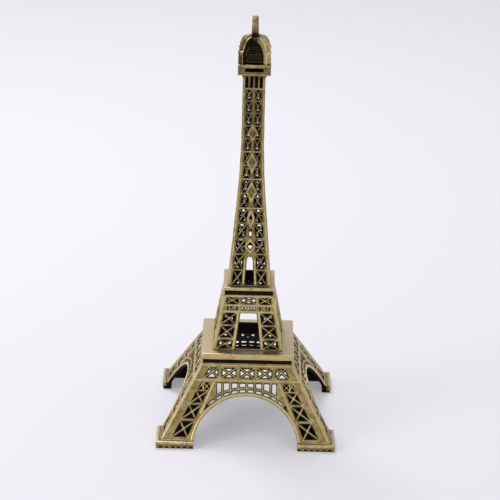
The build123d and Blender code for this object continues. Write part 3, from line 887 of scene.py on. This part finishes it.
def shaft_casting(sizes):
    """The rows of crossed bays, the portal, the flutes and the raised lozenges."""
    casting = Casting()
    bead = sizes.bead / MM
    thick = SHAFT_NECK[1] + shaft_high.y
    low, high = shaft_low.z, shaft_high.z
    heights = [low + (high - low) * n / SHAFT_STEPS for n in range(SHAFT_STEPS + 1)]
    outline = [(shaft_half(z), z) for z in heights] + [(-shaft_half(z), z) for z in reversed(heights)]
    levels = shaft_levels()
    rows = list(zip(levels[:-1], levels[1:]))
    half_rail = SHAFT_RAIL / 2
    bays = both_sides([quad(spine, shaft_outer, z0 + half_rail, z1 - half_rail) for z0, z1 in rows])
    head_r = PORTAL_TOP[1]
    spring_z = PORTAL_TOP[0] - head_r
    head = [(head_r * cos(pi * n / 10), spring_z + head_r * sin(pi * n / 10)) for n in range(11)]
    foot_z = low + 0.5
    doorway = [(-portal(foot_z), foot_z), (portal(foot_z), foot_z), *head]
    slot_z, slot_w, slot_h = SPINE_SLOT
    slots = [doorway, oblong(0, slot_z, slot_w, slot_h)]
    flute_z, flute_h = (FLUTE_LOW + FLUTE_HIGH) / 2, FLUTE_HIGH - FLUTE_LOW
    slots += [oblong((n - 1.5) * FLUTE_PITCH, flute_z, FLUTE_W, flute_h) for n in range(4)]
    for middle, half, height in LOZENGES[:2]:
        slots.append(lozenge_outline(middle, half, height, LOZENGE_STROKE - 0.1))
    casting.pierced(
        outline, bays, slots, (SHAFT_FACE, thick, thick), SHAFT_BAR,
        draft=0.8 * sizes.draft / MM, rounding=0.75 * sizes.rounding / MM, soft=0.3,
    )
    blind_up, blind_w, blind_half = FLUTE_BLIND
    blind_z = FLUTE_LOW + blind_up
    casting.bar((-blind_half, blind_z), (blind_half, blind_z), blind_w, 0.62, thick - 0.1)
    for middle, half, height in LOZENGES:
        casting.lozenge(middle, half, height, LOZENGE_STROKE, 0.22)
    for sign in (1, -1):
        edge = [(sign * (shaft_half(z) - 0.45), z) for z in heights[:-1]]
        casting.bead(edge, 0.5, bead * 0.8)
        inner = [(sign * (portal(z) + PORTAL_STILE / 2), z) for z in (low + 0.4, spring_z)]
        casting.bead(inner, 0.6, bead * 0.7)
    for z in (levels[5], levels[7], levels[9], SHAFT_LATTICE_TOP + 0.15):
        across = shaft_half(z) - 0.8
        casting.bead([(-across, z), (across, z)], 0.45, bead * 0.8)
    return casting


# ---- materials -----------------------------------------------------------------------------
class Nodes:
    """Short calls for wiring a material's nodes."""

    def __init__(self, name):
        self.material = bpy.data.materials.new(name)
        self.material.use_nodes = True
        self.tree = self.material.node_tree
        self.shader = self.tree.nodes["Principled BSDF"]

    def add(self, kind, inputs=(), **settings):
        node = self.tree.nodes.new(kind)
        for key, value in settings.items():
            setattr(node, key, value)
        for key, value in dict(inputs).items():
            if isinstance(value, bpy.types.NodeSocket):
                self.tree.links.new(value, node.inputs[key])
            else:
                node.inputs[key].default_value = value
        return node

    def maths(self, operation, first, second=0.0):
        return self.add("ShaderNodeMath", {0: first, 1: second}, operation=operation).outputs[0]

    def spread(self, value, low, high, to_low=0.0, to_high=1.0):
        """Maps a range of a value to another range and holds it there."""
        inputs = {"Value": value, "From Min": low, "From Max": high, "To Min": to_low, "To Max": to_high}
        return self.add("ShaderNodeMapRange", inputs).outputs[0]

    def noise(self, place, scale, detail=3.0, roughness=0.5):
        inputs = {"Vector": place, "Scale": scale, "Detail": detail, "Roughness": roughness}
        return self.add("ShaderNodeTexNoise", inputs).outputs["Fac"]

    def stretched(self, place, scale):
        return self.add("ShaderNodeVectorMath", {0: place, 1: scale}, operation="MULTIPLY").outputs[0]

    def shelter(self, reach, inside=False):
        """How open a place is, from 0 in a deep corner to 1; inside tells of thin rims instead."""
        settings = {"samples": 6, "inside": inside}
        return self.add("ShaderNodeAmbientOcclusion", {"Distance": reach}, **settings).outputs["AO"]

    def blend(self, share, first, second):
        node = self.add("ShaderNodeMix", {"Factor": share}, data_type="RGBA")
        for key, value in ((6, first), (7, second)):
            if isinstance(value, bpy.types.NodeSocket):
                self.tree.links.new(value, node.inputs[key])
            else:
                node.inputs[key].default_value = (*value, 1)
        return node.outputs[2]

    def bump(self, height, distance, strength, normal=None):
        inputs = {"Height": height, "Distance": distance, "Strength": strength}
        if normal is not None:
            inputs["Normal"] = normal
        return self.add("ShaderNodeBump", inputs).outputs[0]

    def feed(self, socket, value):
        self.tree.links.new(value, self.shader.inputs[socket])


def antique_brass(finish, brushed=False):
    """Dark-plated cast brass, bright where a casting's marks tell of rubbing and of painted highlights, dark
    where they tell of painted shade; level faces get a painted sheen.
    """
    name = "antique_brass_brushed" if brushed else "antique_brass_cast"
    if name in bpy.data.materials:
        return bpy.data.materials[name]
    nodes = Nodes(name)
    place = nodes.add("ShaderNodeTexCoord").outputs["Object"]
    normal = nodes.add("ShaderNodeNewGeometry").outputs["Normal"]
    marks = nodes.add("ShaderNodeAttribute", attribute_name="wear_and_shade").outputs["Fac"]
    upward = nodes.add("ShaderNodeSeparateXYZ", {0: normal}).outputs[2]
    reach, darkest = (0.7, 0.8) if brushed else (1.4, 0.1)
    shelter = nodes.shelter(reach * MM)
    patches = nodes.noise(place, 330, 4, 0.6)
    grain = nodes.noise(place, 2400, 3, 0.6)
    # The marks carry rubbed wear together with painted shade and painted highlights; patina darkens them in
    # the hollows, and patches and grain vary them.
    rubbed = nodes.maths("MULTIPLY", marks, nodes.spread(shelter, 0.25, 0.8, darkest, 1.0))
    rubbed = nodes.maths("MULTIPLY", rubbed, nodes.spread(patches, 0.3, 0.62, 0.7, 1.1))
    rubbed = nodes.maths("MULTIPLY", rubbed, nodes.spread(grain, 0.3, 0.6, 0.7, 1.1))
    ridge = nodes.shelter(0.3 * MM, inside=True)
    ridge = nodes.maths("MULTIPLY", nodes.spread(ridge, 0.8, 0.4, 0, 0.3), nodes.spread(marks, 0.3, 0.8))
    rubbed = nodes.maths("ADD", rubbed, ridge)
    half_worn = nodes.blend(nodes.spread(rubbed, 0.02, 0.42), finish.patina, finish.middle)
    worn = nodes.blend(nodes.spread(rubbed, 0.38, 0.86), half_worn, finish.worn)
    bright = nodes.blend(nodes.spread(rubbed, 0.86, 1.25), worn, finish.edge)
    # Painted sheen: faces that look up, the more rubbed the more, are blended towards the sheen colour, a
    # painted reflection of the bright sky.
    level = nodes.spread(upward, 0.6, 0.95, 0, 0.75)
    level = nodes.maths("MULTIPLY", level, nodes.spread(rubbed, 0.4, 0.9))
    nodes.feed("Base Color", nodes.blend(level, bright, finish.painted_sheen))
    gloss = nodes.spread(rubbed, 0.0, 1.1, finish.roughness + 0.16, finish.roughness)
    nodes.feed("Roughness", nodes.maths("ADD", gloss, nodes.spread(grain, 0.3, 0.7, -0.05, 0.07)))
    nodes.shader.inputs["Metallic"].default_value = 1.0
    bumped = nodes.bump(nodes.noise(place, 800, 4, 0.6), 0.07 * MM, 0.4)
    bumped = nodes.bump(grain, 0.02 * MM, 0.4, bumped)
    if brushed:
        across = nodes.noise(nodes.stretched(place, (3800, 90, 90)), 1, 2)
        along = nodes.noise(nodes.stretched(place, (60, 60, 4200)), 1, 2)
        facing_up = nodes.spread(upward, 0.4, 0.8)
        streaks = nodes.add("ShaderNodeMix", {0: facing_up, 2: along, 3: across}).outputs[0]
        bumped = nodes.bump(streaks, 0.05 * MM, 0.7, bumped)
    nodes.feed("Normal", bumped)
    return nodes.material


def dull_solder(finish):
    """Grey solder with a lumpy, dusty skin."""
    if "dull_solder" in bpy.data.materials:
        return bpy.data.materials["dull_solder"]
    nodes = Nodes("dull_solder")
    place = nodes.add("ShaderNodeTexCoord").outputs["Object"]
    lumps = nodes.noise(place, 700, 4, 0.6)
    darker = [0.45 * channel for channel in finish.solder]
    nodes.feed("Base Color", nodes.blend(nodes.spread(lumps, 0.35, 0.65), darker, finish.solder))
    nodes.feed("Roughness", nodes.spread(lumps, 0.3, 0.7, 0.45, 0.65))
    nodes.shader.inputs["Metallic"].default_value = 0.8
    nodes.feed("Normal", nodes.bump(lumps, 0.12 * MM, 0.6))
    return nodes.material


def matt_floor(colour, glow):
    nodes = Nodes("matt_floor")
    nodes.shader.inputs["Base Color"].default_value = (*colour, 1)
    nodes.shader.inputs["Emission Color"].default_value = (0.97, 0.96, 1.0, 1)
    nodes.shader.inputs["Emission Strength"].default_value = glow
    nodes.shader.inputs["Roughness"].default_value = 0.9
    nodes.shader.inputs["Specular IOR Level"].default_value = 0.1
    return nodes.material


# ---- operators -----------------------------------------------------------------------------
class TOWER_OT_stage(Operator):
    """Set up the pale floor, the soft lights and the camera"""

    bl_idname = "tower.stage"
    bl_label = "Stage"

    def execute(self, context):
        stage = context.scene.tower_stage
        rim = bmesh.new()
        bmesh.ops.create_circle(rim, cap_ends=True, segments=96, radius=4.0)
        mesh = bpy.data.meshes.new("floor")
        rim.to_mesh(mesh)
        rim.free()
        floor = bpy.data.objects.new("floor", mesh)
        context.scene.collection.objects.link(floor)
        mesh.materials.append(matt_floor(stage.floor, stage.glow))
        sky = bpy.data.worlds.new("sky")
        sky.use_nodes = True
        background = sky.node_tree.nodes["Background"]
        background.inputs["Color"].default_value = (0.97, 0.965, 1.0, 1)
        background.inputs["Strength"].default_value = stage.sky
        context.scene.world = sky
        context.scene.view_settings.view_transform = "Standard"
        middle = Vector((0, 0, stage.aim_height))
        self.softbox(context, "high_behind", Vector((-0.25, 0.48, 0.87)), middle, stage.key)
        self.softbox(context, "left", Vector((-0.7, -0.3, 0.45)), middle, stage.fill)
        self.camera(context, stage, middle)
        return {"FINISHED"}

    @staticmethod
    def softbox(context, name, place, aim, power):
        light = bpy.data.lights.new(name, "AREA")
        light.size = 0.35
        light.energy = power
        lamp = bpy.data.objects.new(name, light)
        lamp.location = place
        lamp.rotation_euler = (place - aim).to_track_quat("Z", "Y").to_euler()
        context.scene.collection.objects.link(lamp)

    @staticmethod
    def camera(context, stage, aim):
        back = Vector((0, -cos(stage.elevation), sin(stage.elevation)))
        camera = bpy.data.objects.new("camera", bpy.data.cameras.new("camera"))
        camera.data.lens = stage.lens
        camera.location = aim + back * stage.distance
        level = back.to_track_quat("Z", "Y")
        camera.rotation_mode = "QUATERNION"
        camera.rotation_quaternion = level @ Quaternion((0, 0, 1), stage.roll)
        context.scene.collection.objects.link(camera)
        context.scene.camera = camera


class TOWER_OT_feet(Operator):
    """Build the four L-shaped feet with their toothed lower bands"""

    bl_idname = "tower.feet"
    bl_label = "Feet"

    def execute(self, context):
        casting = Casting()
        near, far, inner = -FOOT_HALF, -FOOT_HALF + FOOT_ARM, -FOOT_HALF + FOOT_THICK
        back, middle = near + FOOT_BAND_BACK, near + FOOT_SLAB
        overlap, slab_rounding, rounding = 0.4, 0.42, 0.12

        def angle_shape(outer, inner):
            return [(outer, outer), (far, outer), (far, inner), (inner, inner), (inner, far), (outer, far)]

        casting.plate(angle_shape(near, middle), [], FOOT_H - FOOT_BAND, slab_rounding)
        casting.plate(angle_shape(middle - overlap, inner), [], FOOT_H, rounding, 0.03)
        band_face = FOOT_H - FOOT_BAND - overlap
        casting.plate(angle_shape(back, middle), [], FOOT_BAND + overlap, rounding, band_face)
        pitch = (FOOT_ARM - 0.7) / FOOT_TEETH
        upper, lower = FOOT_H - FOOT_BAND - 0.05, FOOT_H - 0.12
        front, root, chamfer = near + 0.04, back + 0.3, 0.16
        for n in range(FOOT_TEETH):
            low = near + 0.3 + n * pitch
            high = low + 0.5 * pitch
            block(casting.shells, (low, front, upper), (high, root, lower), chamfer)
            block(casting.shells, (front, low, upper), (root, high, lower), chamfer)
        seam, seam_start, seam_end = -BASE_FOOT_HALF - 0.12, -BASE_FOOT_HALF + 0.1, far - 0.3
        casting.bead([(seam_start, seam), (seam_end, seam)], 0.5, 0.22)
        casting.bead([(seam, seam_start), (seam, seam_end)], 0.5, 0.22)
        material = antique_brass(context.scene.tower_finish)

        def upright(point):
            return Vector((point[0], point[1], FOOT_H - point[2]))

        def wear_and_shade(point):
            """Bright on the slab, less so on the teeth, dark behind them and inside."""
            across, along, down = point
            outside = min(across, along)
            if outside > middle - 0.5:
                return 0.05
            if down < FOOT_H - FOOT_BAND + 0.1:
                return 1.15
            return 0.02 if outside > back - 0.05 else 0.8

        stand_around(casting, "moulded_foot", upright, wear_and_shade, material, "foot", CORNERS)
        return {"FINISHED"}


class TOWER_OT_base_panels(Operator):
    """Build the four arched base panels with their lattice"""

    bl_idname = "tower.base_panels"
    bl_label = "Base panels"

    def execute(self, context):
        casting = base_casting(context.scene.tower_sizes)
        material = antique_brass(context.scene.tower_finish)
        stand_around(casting, "arched_panel", base_place, panel_wear(0.95), material, "base_panel", SIDES)
        return {"FINISHED"}


class TOWER_OT_decks(Operator):
    """Build the two square decks with their brushed mouldings"""

    bl_idname = "tower.decks"
    bl_label = "Decks"

    def execute(self, context):
        material = antique_brass(context.scene.tower_finish, brushed=True)
        self.deck(deck_1_low, deck_1_high, FIRST_DECK, "wide_deck", "first_deck", material)
        self.deck(deck_2_low, deck_2_high, SECOND_DECK, "narrow_deck", "second_deck", material)
        return {"FINISHED"}

    @staticmethod
    def deck(low, high, sizes, name, node, material):
        """A ring whose edge has a rounded top, a shallow hollow and a bottom fillet."""
        edge, neck, hole = sizes
        half, top, foot = high.x, high.z, low.z
        lower = top - edge
        hollow = 0.09 * edge
        profile = [
            (hole, top - 0.2), (hole + 0.2, top), (half - 0.34 * edge, top),
            (half - 0.17 * edge, top - 0.06 * edge), (half - 0.05 * edge, top - 0.18 * edge),
            (half, top - 0.34 * edge), (half, top - 0.42 * edge),
            (half - hollow, top - 0.5 * edge), (half - hollow, lower + 0.27 * edge),
            (half, lower + 0.2 * edge), (half, lower + 0.08 * edge), (half - 0.07 * edge, lower),
            (neck, lower), (neck, foot), (hole, foot),
        ]
        casting = Casting()
        square_ring(casting.shells, profile, DECK_CORNER)

        def wear_and_shade(point):
            """Dark on the neck, the underside and the wall of the hole: painted shade under the deck's
            overhang and inside the tower.
            """
            out = max(abs(point[0]), abs(point[1]))
            if out < hole + 0.05:
                return 0.02
            if point[2] < lower + 0.01 * edge:
                return 0.0 if point[2] > foot + 0.1 else 0.1
            hollowed = abs(out - half + hollow) < 0.3 * hollow
            return 1.3 if hollowed else 1.4

        stand(casting, name, as_drawn, wear_and_shade, material, node)


class TOWER_OT_middle_panels(Operator):
    """Build the four middle panels with their tall openings and friezes"""

    bl_idname = "tower.middle_panels"
    bl_label = "Middle panels"

    def execute(self, context):
        casting = mid_casting(context.scene.tower_sizes)
        material = antique_brass(context.scene.tower_finish)
        stand_around(casting, "frieze_panel", mid_place, panel_wear(0.95), material, "mid_panel", SIDES)
        return {"FINISHED"}


class TOWER_OT_shaft_panels(Operator):
    """Build the four curved shaft panels with lattice and lozenges"""

    bl_idname = "tower.shaft_panels"
    bl_label = "Shaft panels"

    def execute(self, context):
        casting = shaft_casting(context.scene.tower_sizes)
        material = antique_brass(context.scene.tower_finish)
        face_wear = panel_wear(0.76)

        def wear_and_shade(point):
            """Like the other panels, and darker towards the top."""
            return face_wear(point) * straight_between(point[1], (75, 1.0), (125, 0.82))

        stand_around(casting, "lozenge_panel", shaft_place, wear_and_shade, material, "shaft_panel", SIDES)
        return {"FINISHED"}


class TOWER_OT_gallery(Operator):
    """Build the gallery box with a slot and a row of teeth on each side"""

    bl_idname = "tower.gallery"
    bl_label = "Gallery"

    def execute(self, context):
        low, high, half = gallery_low.z, gallery_high.z, GALLERY_HALF
        corner = 0.2
        wall_face = half - GALLERY_SET_BACK
        drawn = self.wall(wall_face, low + corner, high - corner)
        casting = Casting()
        for turn in SIDES.values():
            spin = Matrix.Rotation(radians(turn), 3, "Z")

            def laid(point):
                return spin @ mitred(point[0], point[2] - wall_face, point[1]) / MM

            wall = drawn.mesh("wall", laid, unworn)
            casting.shells.from_mesh(wall)
            bpy.data.meshes.remove(wall)
        inside = half - GALLERY_WALL
        top_rail = [
            (inside, high), (half - 0.16, high), (half, high - 0.16), (half, high - 1.0),
            (half - 0.16, high - 1.12), (inside, high - 1.12),
        ]
        foot_rail = [
            (GALLERY_HOLE, low), (half - 0.16, low), (half, low + 0.14), (half, low + 0.62),
            (half - 0.14, low + 0.76), (GALLERY_HOLE, low + 0.76),
        ]
        square_ring(casting.shells, top_rail, corner)
        square_ring(casting.shells, foot_rail, corner)
        square_stack(casting.shells, [(inside + 0.2, high - 0.9), (inside + 0.2, high - 0.06)], corner)
        material = antique_brass(context.scene.tower_finish)

        def wear_and_shade(point):
            """Worn outside and dark on the roof and inside."""
            out = max(abs(point[0]), abs(point[1]))
            if out > half - 0.4:
                return 0.84 if out > half - 0.12 else 0.62
            return 0.25 if point[2] > high - 0.3 and out > inside - 0.1 else 0.02

        stand(casting, "slotted_gallery", as_drawn, wear_and_shade, material, "gallery")
        return {"FINISHED"}

    @staticmethod
    def wall(half, low, high):
        """One side of the box: its slot, and a row of teeth on a bar below it."""
        slot_low, slot_high, slot_half = GALLERY_SLOT
        foot = slot_low - 0.6
        wall = [(-half, low), (half, low), (half, high), (-half, high)]
        slot = [(-slot_half, foot), (slot_half, foot), (slot_half, slot_high), (-slot_half, slot_high)]
        drawn = Casting()
        drawn.plate(wall, [softened(slot, 0.2)], GALLERY_WALL, 0.1)
        drawn.bar((-slot_half, foot + 0.2), (slot_half, foot + 0.2), 0.7, 0.45, 0.95)
        pitch = 2 * slot_half / GALLERY_TEETH
        for n in range(GALLERY_TEETH):
            start = -slot_half + n * pitch
            corners = (start + 0.14, foot - 0.1, -0.12), (start + 0.46, slot_low - 0.02, 0.9)
            block(drawn.shells, *corners, 0.08)
        return drawn


class TOWER_OT_cabin(Operator):
    """Build the stepped plinth and the ribbed cabin under the crown"""

    bl_idname = "tower.cabin"
    bl_label = "Cabin"

    def execute(self, context):
        material = antique_brass(context.scene.tower_finish)
        plinth = Casting()
        half, low, high = step_high.x, step_low.z, step_high.z
        block(plinth.shells, (-half, -half, low), (half, half, STEP_LEDGE), 0.2, STEP_CORNER)
        square_stack(
            plinth.shells,
            [(PLINTH_HALF, STEP_LEDGE - 0.1), (PLINTH_HALF, high - 0.9), (PLINTH_HALF - 0.15, high - 0.75),
             (PLINTH_HALF - 0.15, high - 0.4), (PLINTH_HALF - 0.4, high)], 0.3,
        )

        def edge_wear(point):
            """Worn a little along the ledge, dark elsewhere."""
            on_ledge = abs(point[2] - STEP_LEDGE + 0.1) < 0.12 and abs(point[1]) > PLINTH_HALF
            return 0.42 if on_ledge else 0.14

        stand(plinth, "stepped_plinth", as_drawn, edge_wear, material, "cabin_step")
        house = Casting()
        low, high = cabin_low.z, cabin_high.z
        (wide, first), (mid, second), (narrow, _) = [(half + CABIN_EAVES, z) for half, z in CABIN_TIERS]
        levels = [(wide, low)]
        for groove in CABIN_GROOVES:
            sunk = wide - 0.28
            levels += [(wide, groove - 0.1), (sunk, groove), (sunk, groove + 0.25), (wide, groove + 0.35)]
        levels += [(wide, first - 0.1), (wide - 0.15, first), (mid, first), (mid, first + 0.7),
                   (mid - 0.2, first + 0.8), (mid - 0.2, first + 1.1),
                   (mid, first + 1.2), (mid, second - 0.12),
                   (mid - 0.12, second), (narrow, second), (narrow, high)]
        square_stack(house.shells, levels, 0.35)

        def rib_wear(point):
            """The ribs of the two lower tiers are worn a little."""
            out = max(abs(point[0]), abs(point[1]))
            return 0.3 if point[2] < second and out > (wide if point[2] < first else mid) - 0.15 else 0.04

        stand(house, "tiered_cabin", as_drawn, rib_wear, material, "cabin")
        return {"FINISHED"}


class TOWER_OT_crown(Operator):
    """Build the four bent crown straps and their hub"""

    bl_idname = "tower.crown"
    bl_label = "Crown"

    def execute(self, context):
        material = antique_brass(context.scene.tower_finish)
        strap = Casting()
        foot_in, foot_out = STRAP_FOOT
        low, top = gallery_high.z, hub_high.z
        foot_out -= 0.05
        edges = [((foot_out, low), (foot_in, low)), ((foot_out, 164.9), (foot_in, 163.6))]
        for n in range(ARM_STEPS + 1):
            angle = pi / 2 * n / ARM_STEPS
            run, rise = cos(angle), sin(angle)
            edges.append([(r + across * run, z + up * rise) for r, z, across, up in (ARM_OUTER, ARM_INNER)])
        edges.append(((0.9, top), (0.9, hub_low.z + 0.2)))
        half_w, cut, sunk = STRAP_WIDTH / 2, 0.25, 0.2
        rings = []
        for outer, inner in edges:
            outer, inner = Vector(outer), Vector(inner)
            inward = (inner - outer).normalized()
            right = ((half_w - cut, 0), (half_w, cut))
            left = ((-half_w, cut), (cut - half_w, 0))
            groove = ((-0.75, 0), (-0.55, sunk), (0.55, sunk), (0.75, 0))
            ring = [(outer + inward * depth, side) for side, depth in (*left, *groove, *right)]
            ring += [(inner - inward * depth, side) for side, depth in (*right[::-1], *left[::-1])]
            rings.append([(point.x, side, point.y) for point, side in ring])
        sweep(strap.shells, rings)
        shoulder_in, shoulder_out, shoulder_low, shoulder_high = STRAP_SHOULDER
        proud = half_w + 0.08
        corners = (shoulder_in, -proud, shoulder_low), (shoulder_out, proud, shoulder_high)
        block(strap.shells, *corners, 0.3)

        def wear_and_shade(point):
            """Bright on the outer face, dark on the inner one."""
            run, rise = point[0] - 2.5, max(point[2] - 164.75, 0)
            outside = hypot(run / 4.65, rise / 5.7) if rise > 0 else run / 4.85
            return min(max((outside - 0.86) / 0.2, 0.03), 1.15) * (0.75 if abs(point[1]) < 0.6 else 1)

        to_corner = Matrix.Rotation(radians(225), 3, "Z")

        def painted_shade_strap(point):
            """A strap in painted shade: dark, its flank darkest, with a painted glint along its right edge.
            """
            if point[1] > half_w - 0.1:
                return 0.08
            return 0.8 * wear_and_shade(point) if point[1] > half_w - 0.3 else 0.42 * wear_and_shade(point)

        def painted_lit_strap(point):
            """A strap painted as lit: brighter than its wear, with a painted highlight on its left flank."""
            return 1.5 if point[1] < 0.3 - half_w else 1.2 * wear_and_shade(point)

        # The front-left strap gets painted shade with a painted glint, the front-right one painted light
        # with a painted highlight; the back straps keep their bright outer and dark inner faces.
        strap_wear_and_light = {"front_left": painted_shade_strap, "front_right": painted_lit_strap, "back_right": wear_and_shade, "back_left": wear_and_shade}

        def place(point):
            return to_corner @ point

        for corner, rubbed in strap_wear_and_light.items():
            here = {corner: CORNERS[corner]}
            stand_around(strap, "bent_strap", place, rubbed, material, "crown_strap", here)
        hub = Casting()
        radius, low = hub_high.x, hub_low.z
        round_stack(
            hub.shells,
            [(radius - 0.9, low), (radius - 0.3, low + 0.25), (radius, low + 0.9),
             (radius, top - 0.5), (radius - 0.15, top - 0.15), (radius - 0.6, top)],
        )

        def hub_wear(point):
            return 0.45 if point[2] > low + 1 else 0.1

        stand(hub, "round_hub", as_drawn, hub_wear, material, "crown_hub")
        return {"FINISHED"}


class TOWER_OT_hanging_ring(Operator):
    """Build the bored ring that stands on the hub"""

    bl_idname = "tower.hanging_ring"
    bl_label = "Hanging ring"

    def execute(self, context):
        casting = Casting()
        half, outer_r = ring_high.x, ring_high.y
        middle = ring_high.z - outer_r
        cut = 0.4
        outside = [
            (half, RING_BORE_R + cut), (half, outer_r - cut),
            (half - 0.5 * cut, outer_r - 0.25 * cut), (half - 1.5 * cut, outer_r),
        ]
        bore = [(half - 1.4 * cut, RING_BORE_R), (half - 0.6 * cut, RING_BORE_R + 0.2 * cut)]
        section = [*outside, *[(-x, r) for x, r in outside[::-1]], *[(-x, r) for x, r in bore[::-1]], *bore]
        turns = [2 * pi * n / RING_STEPS for n in range(RING_STEPS)]
        rings = [[(x, r * cos(turn), middle + r * sin(turn)) for x, r in section] for turn in turns]
        sweep(casting.shells, rings, looped=True)
        block(casting.shells, (-half, -2.2, ring_low.z - 0.05), (half, 2.2, ring_low.z + 1.5), 0.25)

        def tapered(point):
            """Narrows the ring a little towards its top."""
            share = straight_between(point[2], (ring_low.z, 1.15), (ring_high.z, 0.96))
            return Vector((point[0] * share, point[1], point[2]))

        material = antique_brass(context.scene.tower_finish)

        def wear_and_shade(point):
            """Painted shade, dark near the hub and lighter half-way up; darker still in the bore; dimmed
            again at the top to damp the painted sheen.
            """
            outside = hypot(point[1], point[2] - middle) > RING_BORE_R + 0.5
            # Painted shade rising from the hub to half-way up, then a dimming towards the top.
            rubbed = straight_between(point[2], (ring_low.z, 0.12), (middle + 0.5, 0.85))
            rubbed *= straight_between(point[2], (middle + 2, 1.0), (ring_high.z, 0.55))
            return rubbed if outside else 0.5 * rubbed

        stand(casting, "hanging_ring_lug", tapered, wear_and_shade, material, "hanging_ring")
        return {"FINISHED"}


class TOWER_OT_solder(Operator):
    """Run the lumpy solder up the inner corners"""

    bl_idname = "tower.solder"
    bl_label = "Solder"

    def execute(self, context):
        material = dull_solder(context.scene.tower_finish)
        base_inner = (BASE_FOOT_HALF - BASE_TOP_HALF - base_high.y, -base_high.y)
        mid_inner = (MID_FOOT_HALF - MID_TOP_HALF - mid_high.y, -mid_high.y)
        self.beads(base_low.z, base_high.z, base_inner, "base_solder_run", "base_solder", material)
        self.beads(mid_low.z, mid_high.z, mid_inner, "middle_solder_run", "mid_solder", material)
        return {"FINISHED"}

    @staticmethod
    def beads(low, high, halves, name, node, material):
        """Four runs up the corners, each with its own slow and quick swellings."""
        casting = Casting()
        turns = [2 * pi * k / 10 for k in range(10)]
        for quarter in range(4):
            corner = radians(45 + 90 * quarter)
            rings = []
            for n in range(SOLDER_STEPS + 1):
                share = n / SOLDER_STEPS
                radius = 0.62 + 0.1 * sin(17 * share + 2.1 * quarter) + 0.07 * sin(53 * share + quarter)
                middle = halves[0] + (halves[1] - halves[0]) * share - 0.2
                cx, cy = middle * sqrt(2) * cos(corner), middle * sqrt(2) * sin(corner)
                z = low + (high - low) * share
                rings.append([(cx + radius * cos(turn), cy + radius * sin(turn), z) for turn in turns])
            sweep(casting.shells, rings)
        stand(casting, name, as_drawn, unworn, material, node)


class TOWER_PT_panel(Panel):
    """Lists the tower's settings and the steps that build it"""

    bl_label = "Lattice Tower"
    bl_idname = "TOWER_PT_panel"
    bl_space_type = "VIEW_3D"
    bl_region_type = "UI"
    bl_category = "Tower"

    def draw(self, context):
        for step in STEPS:
            self.layout.operator(step.bl_idname)
        for settings in (context.scene.tower_sizes, context.scene.tower_finish, context.scene.tower_stage):
            for name in settings.bl_rna.properties.keys():
                if name not in ("rna_type", "name"):
                    self.layout.prop(settings, name)


STEPS = (
    TOWER_OT_stage,
    TOWER_OT_feet,
    TOWER_OT_base_panels,
    TOWER_OT_decks,
    TOWER_OT_middle_panels,
    TOWER_OT_shaft_panels,
    TOWER_OT_gallery,
    TOWER_OT_cabin,
    TOWER_OT_crown,
    TOWER_OT_hanging_ring,
    TOWER_OT_solder,
)
CLASSES = (TowerCastingSizes, TowerFinish, TowerStage, *STEPS, TOWER_PT_panel)


def register():
    for cls in CLASSES:
        bpy.utils.register_class(cls)
    bpy.types.Scene.tower_sizes = PointerProperty(type=TowerCastingSizes)
    bpy.types.Scene.tower_finish = PointerProperty(type=TowerFinish)
    bpy.types.Scene.tower_stage = PointerProperty(type=TowerStage)


def unregister():
    del bpy.types.Scene.tower_stage
    del bpy.types.Scene.tower_finish
    del bpy.types.Scene.tower_sizes
    for cls in reversed(CLASSES):
        bpy.utils.unregister_class(cls)


def main():
    register()
    bpy.ops.tower.stage()
    bpy.ops.tower.feet()
    bpy.ops.tower.base_panels()
    bpy.ops.tower.decks()
    bpy.ops.tower.middle_panels()
    bpy.ops.tower.shaft_panels()
    bpy.ops.tower.gallery()
    bpy.ops.tower.cabin()
    bpy.ops.tower.crown()
    bpy.ops.tower.hanging_ring()
    bpy.ops.tower.solder()


if __name__ == "__main__":
    main()
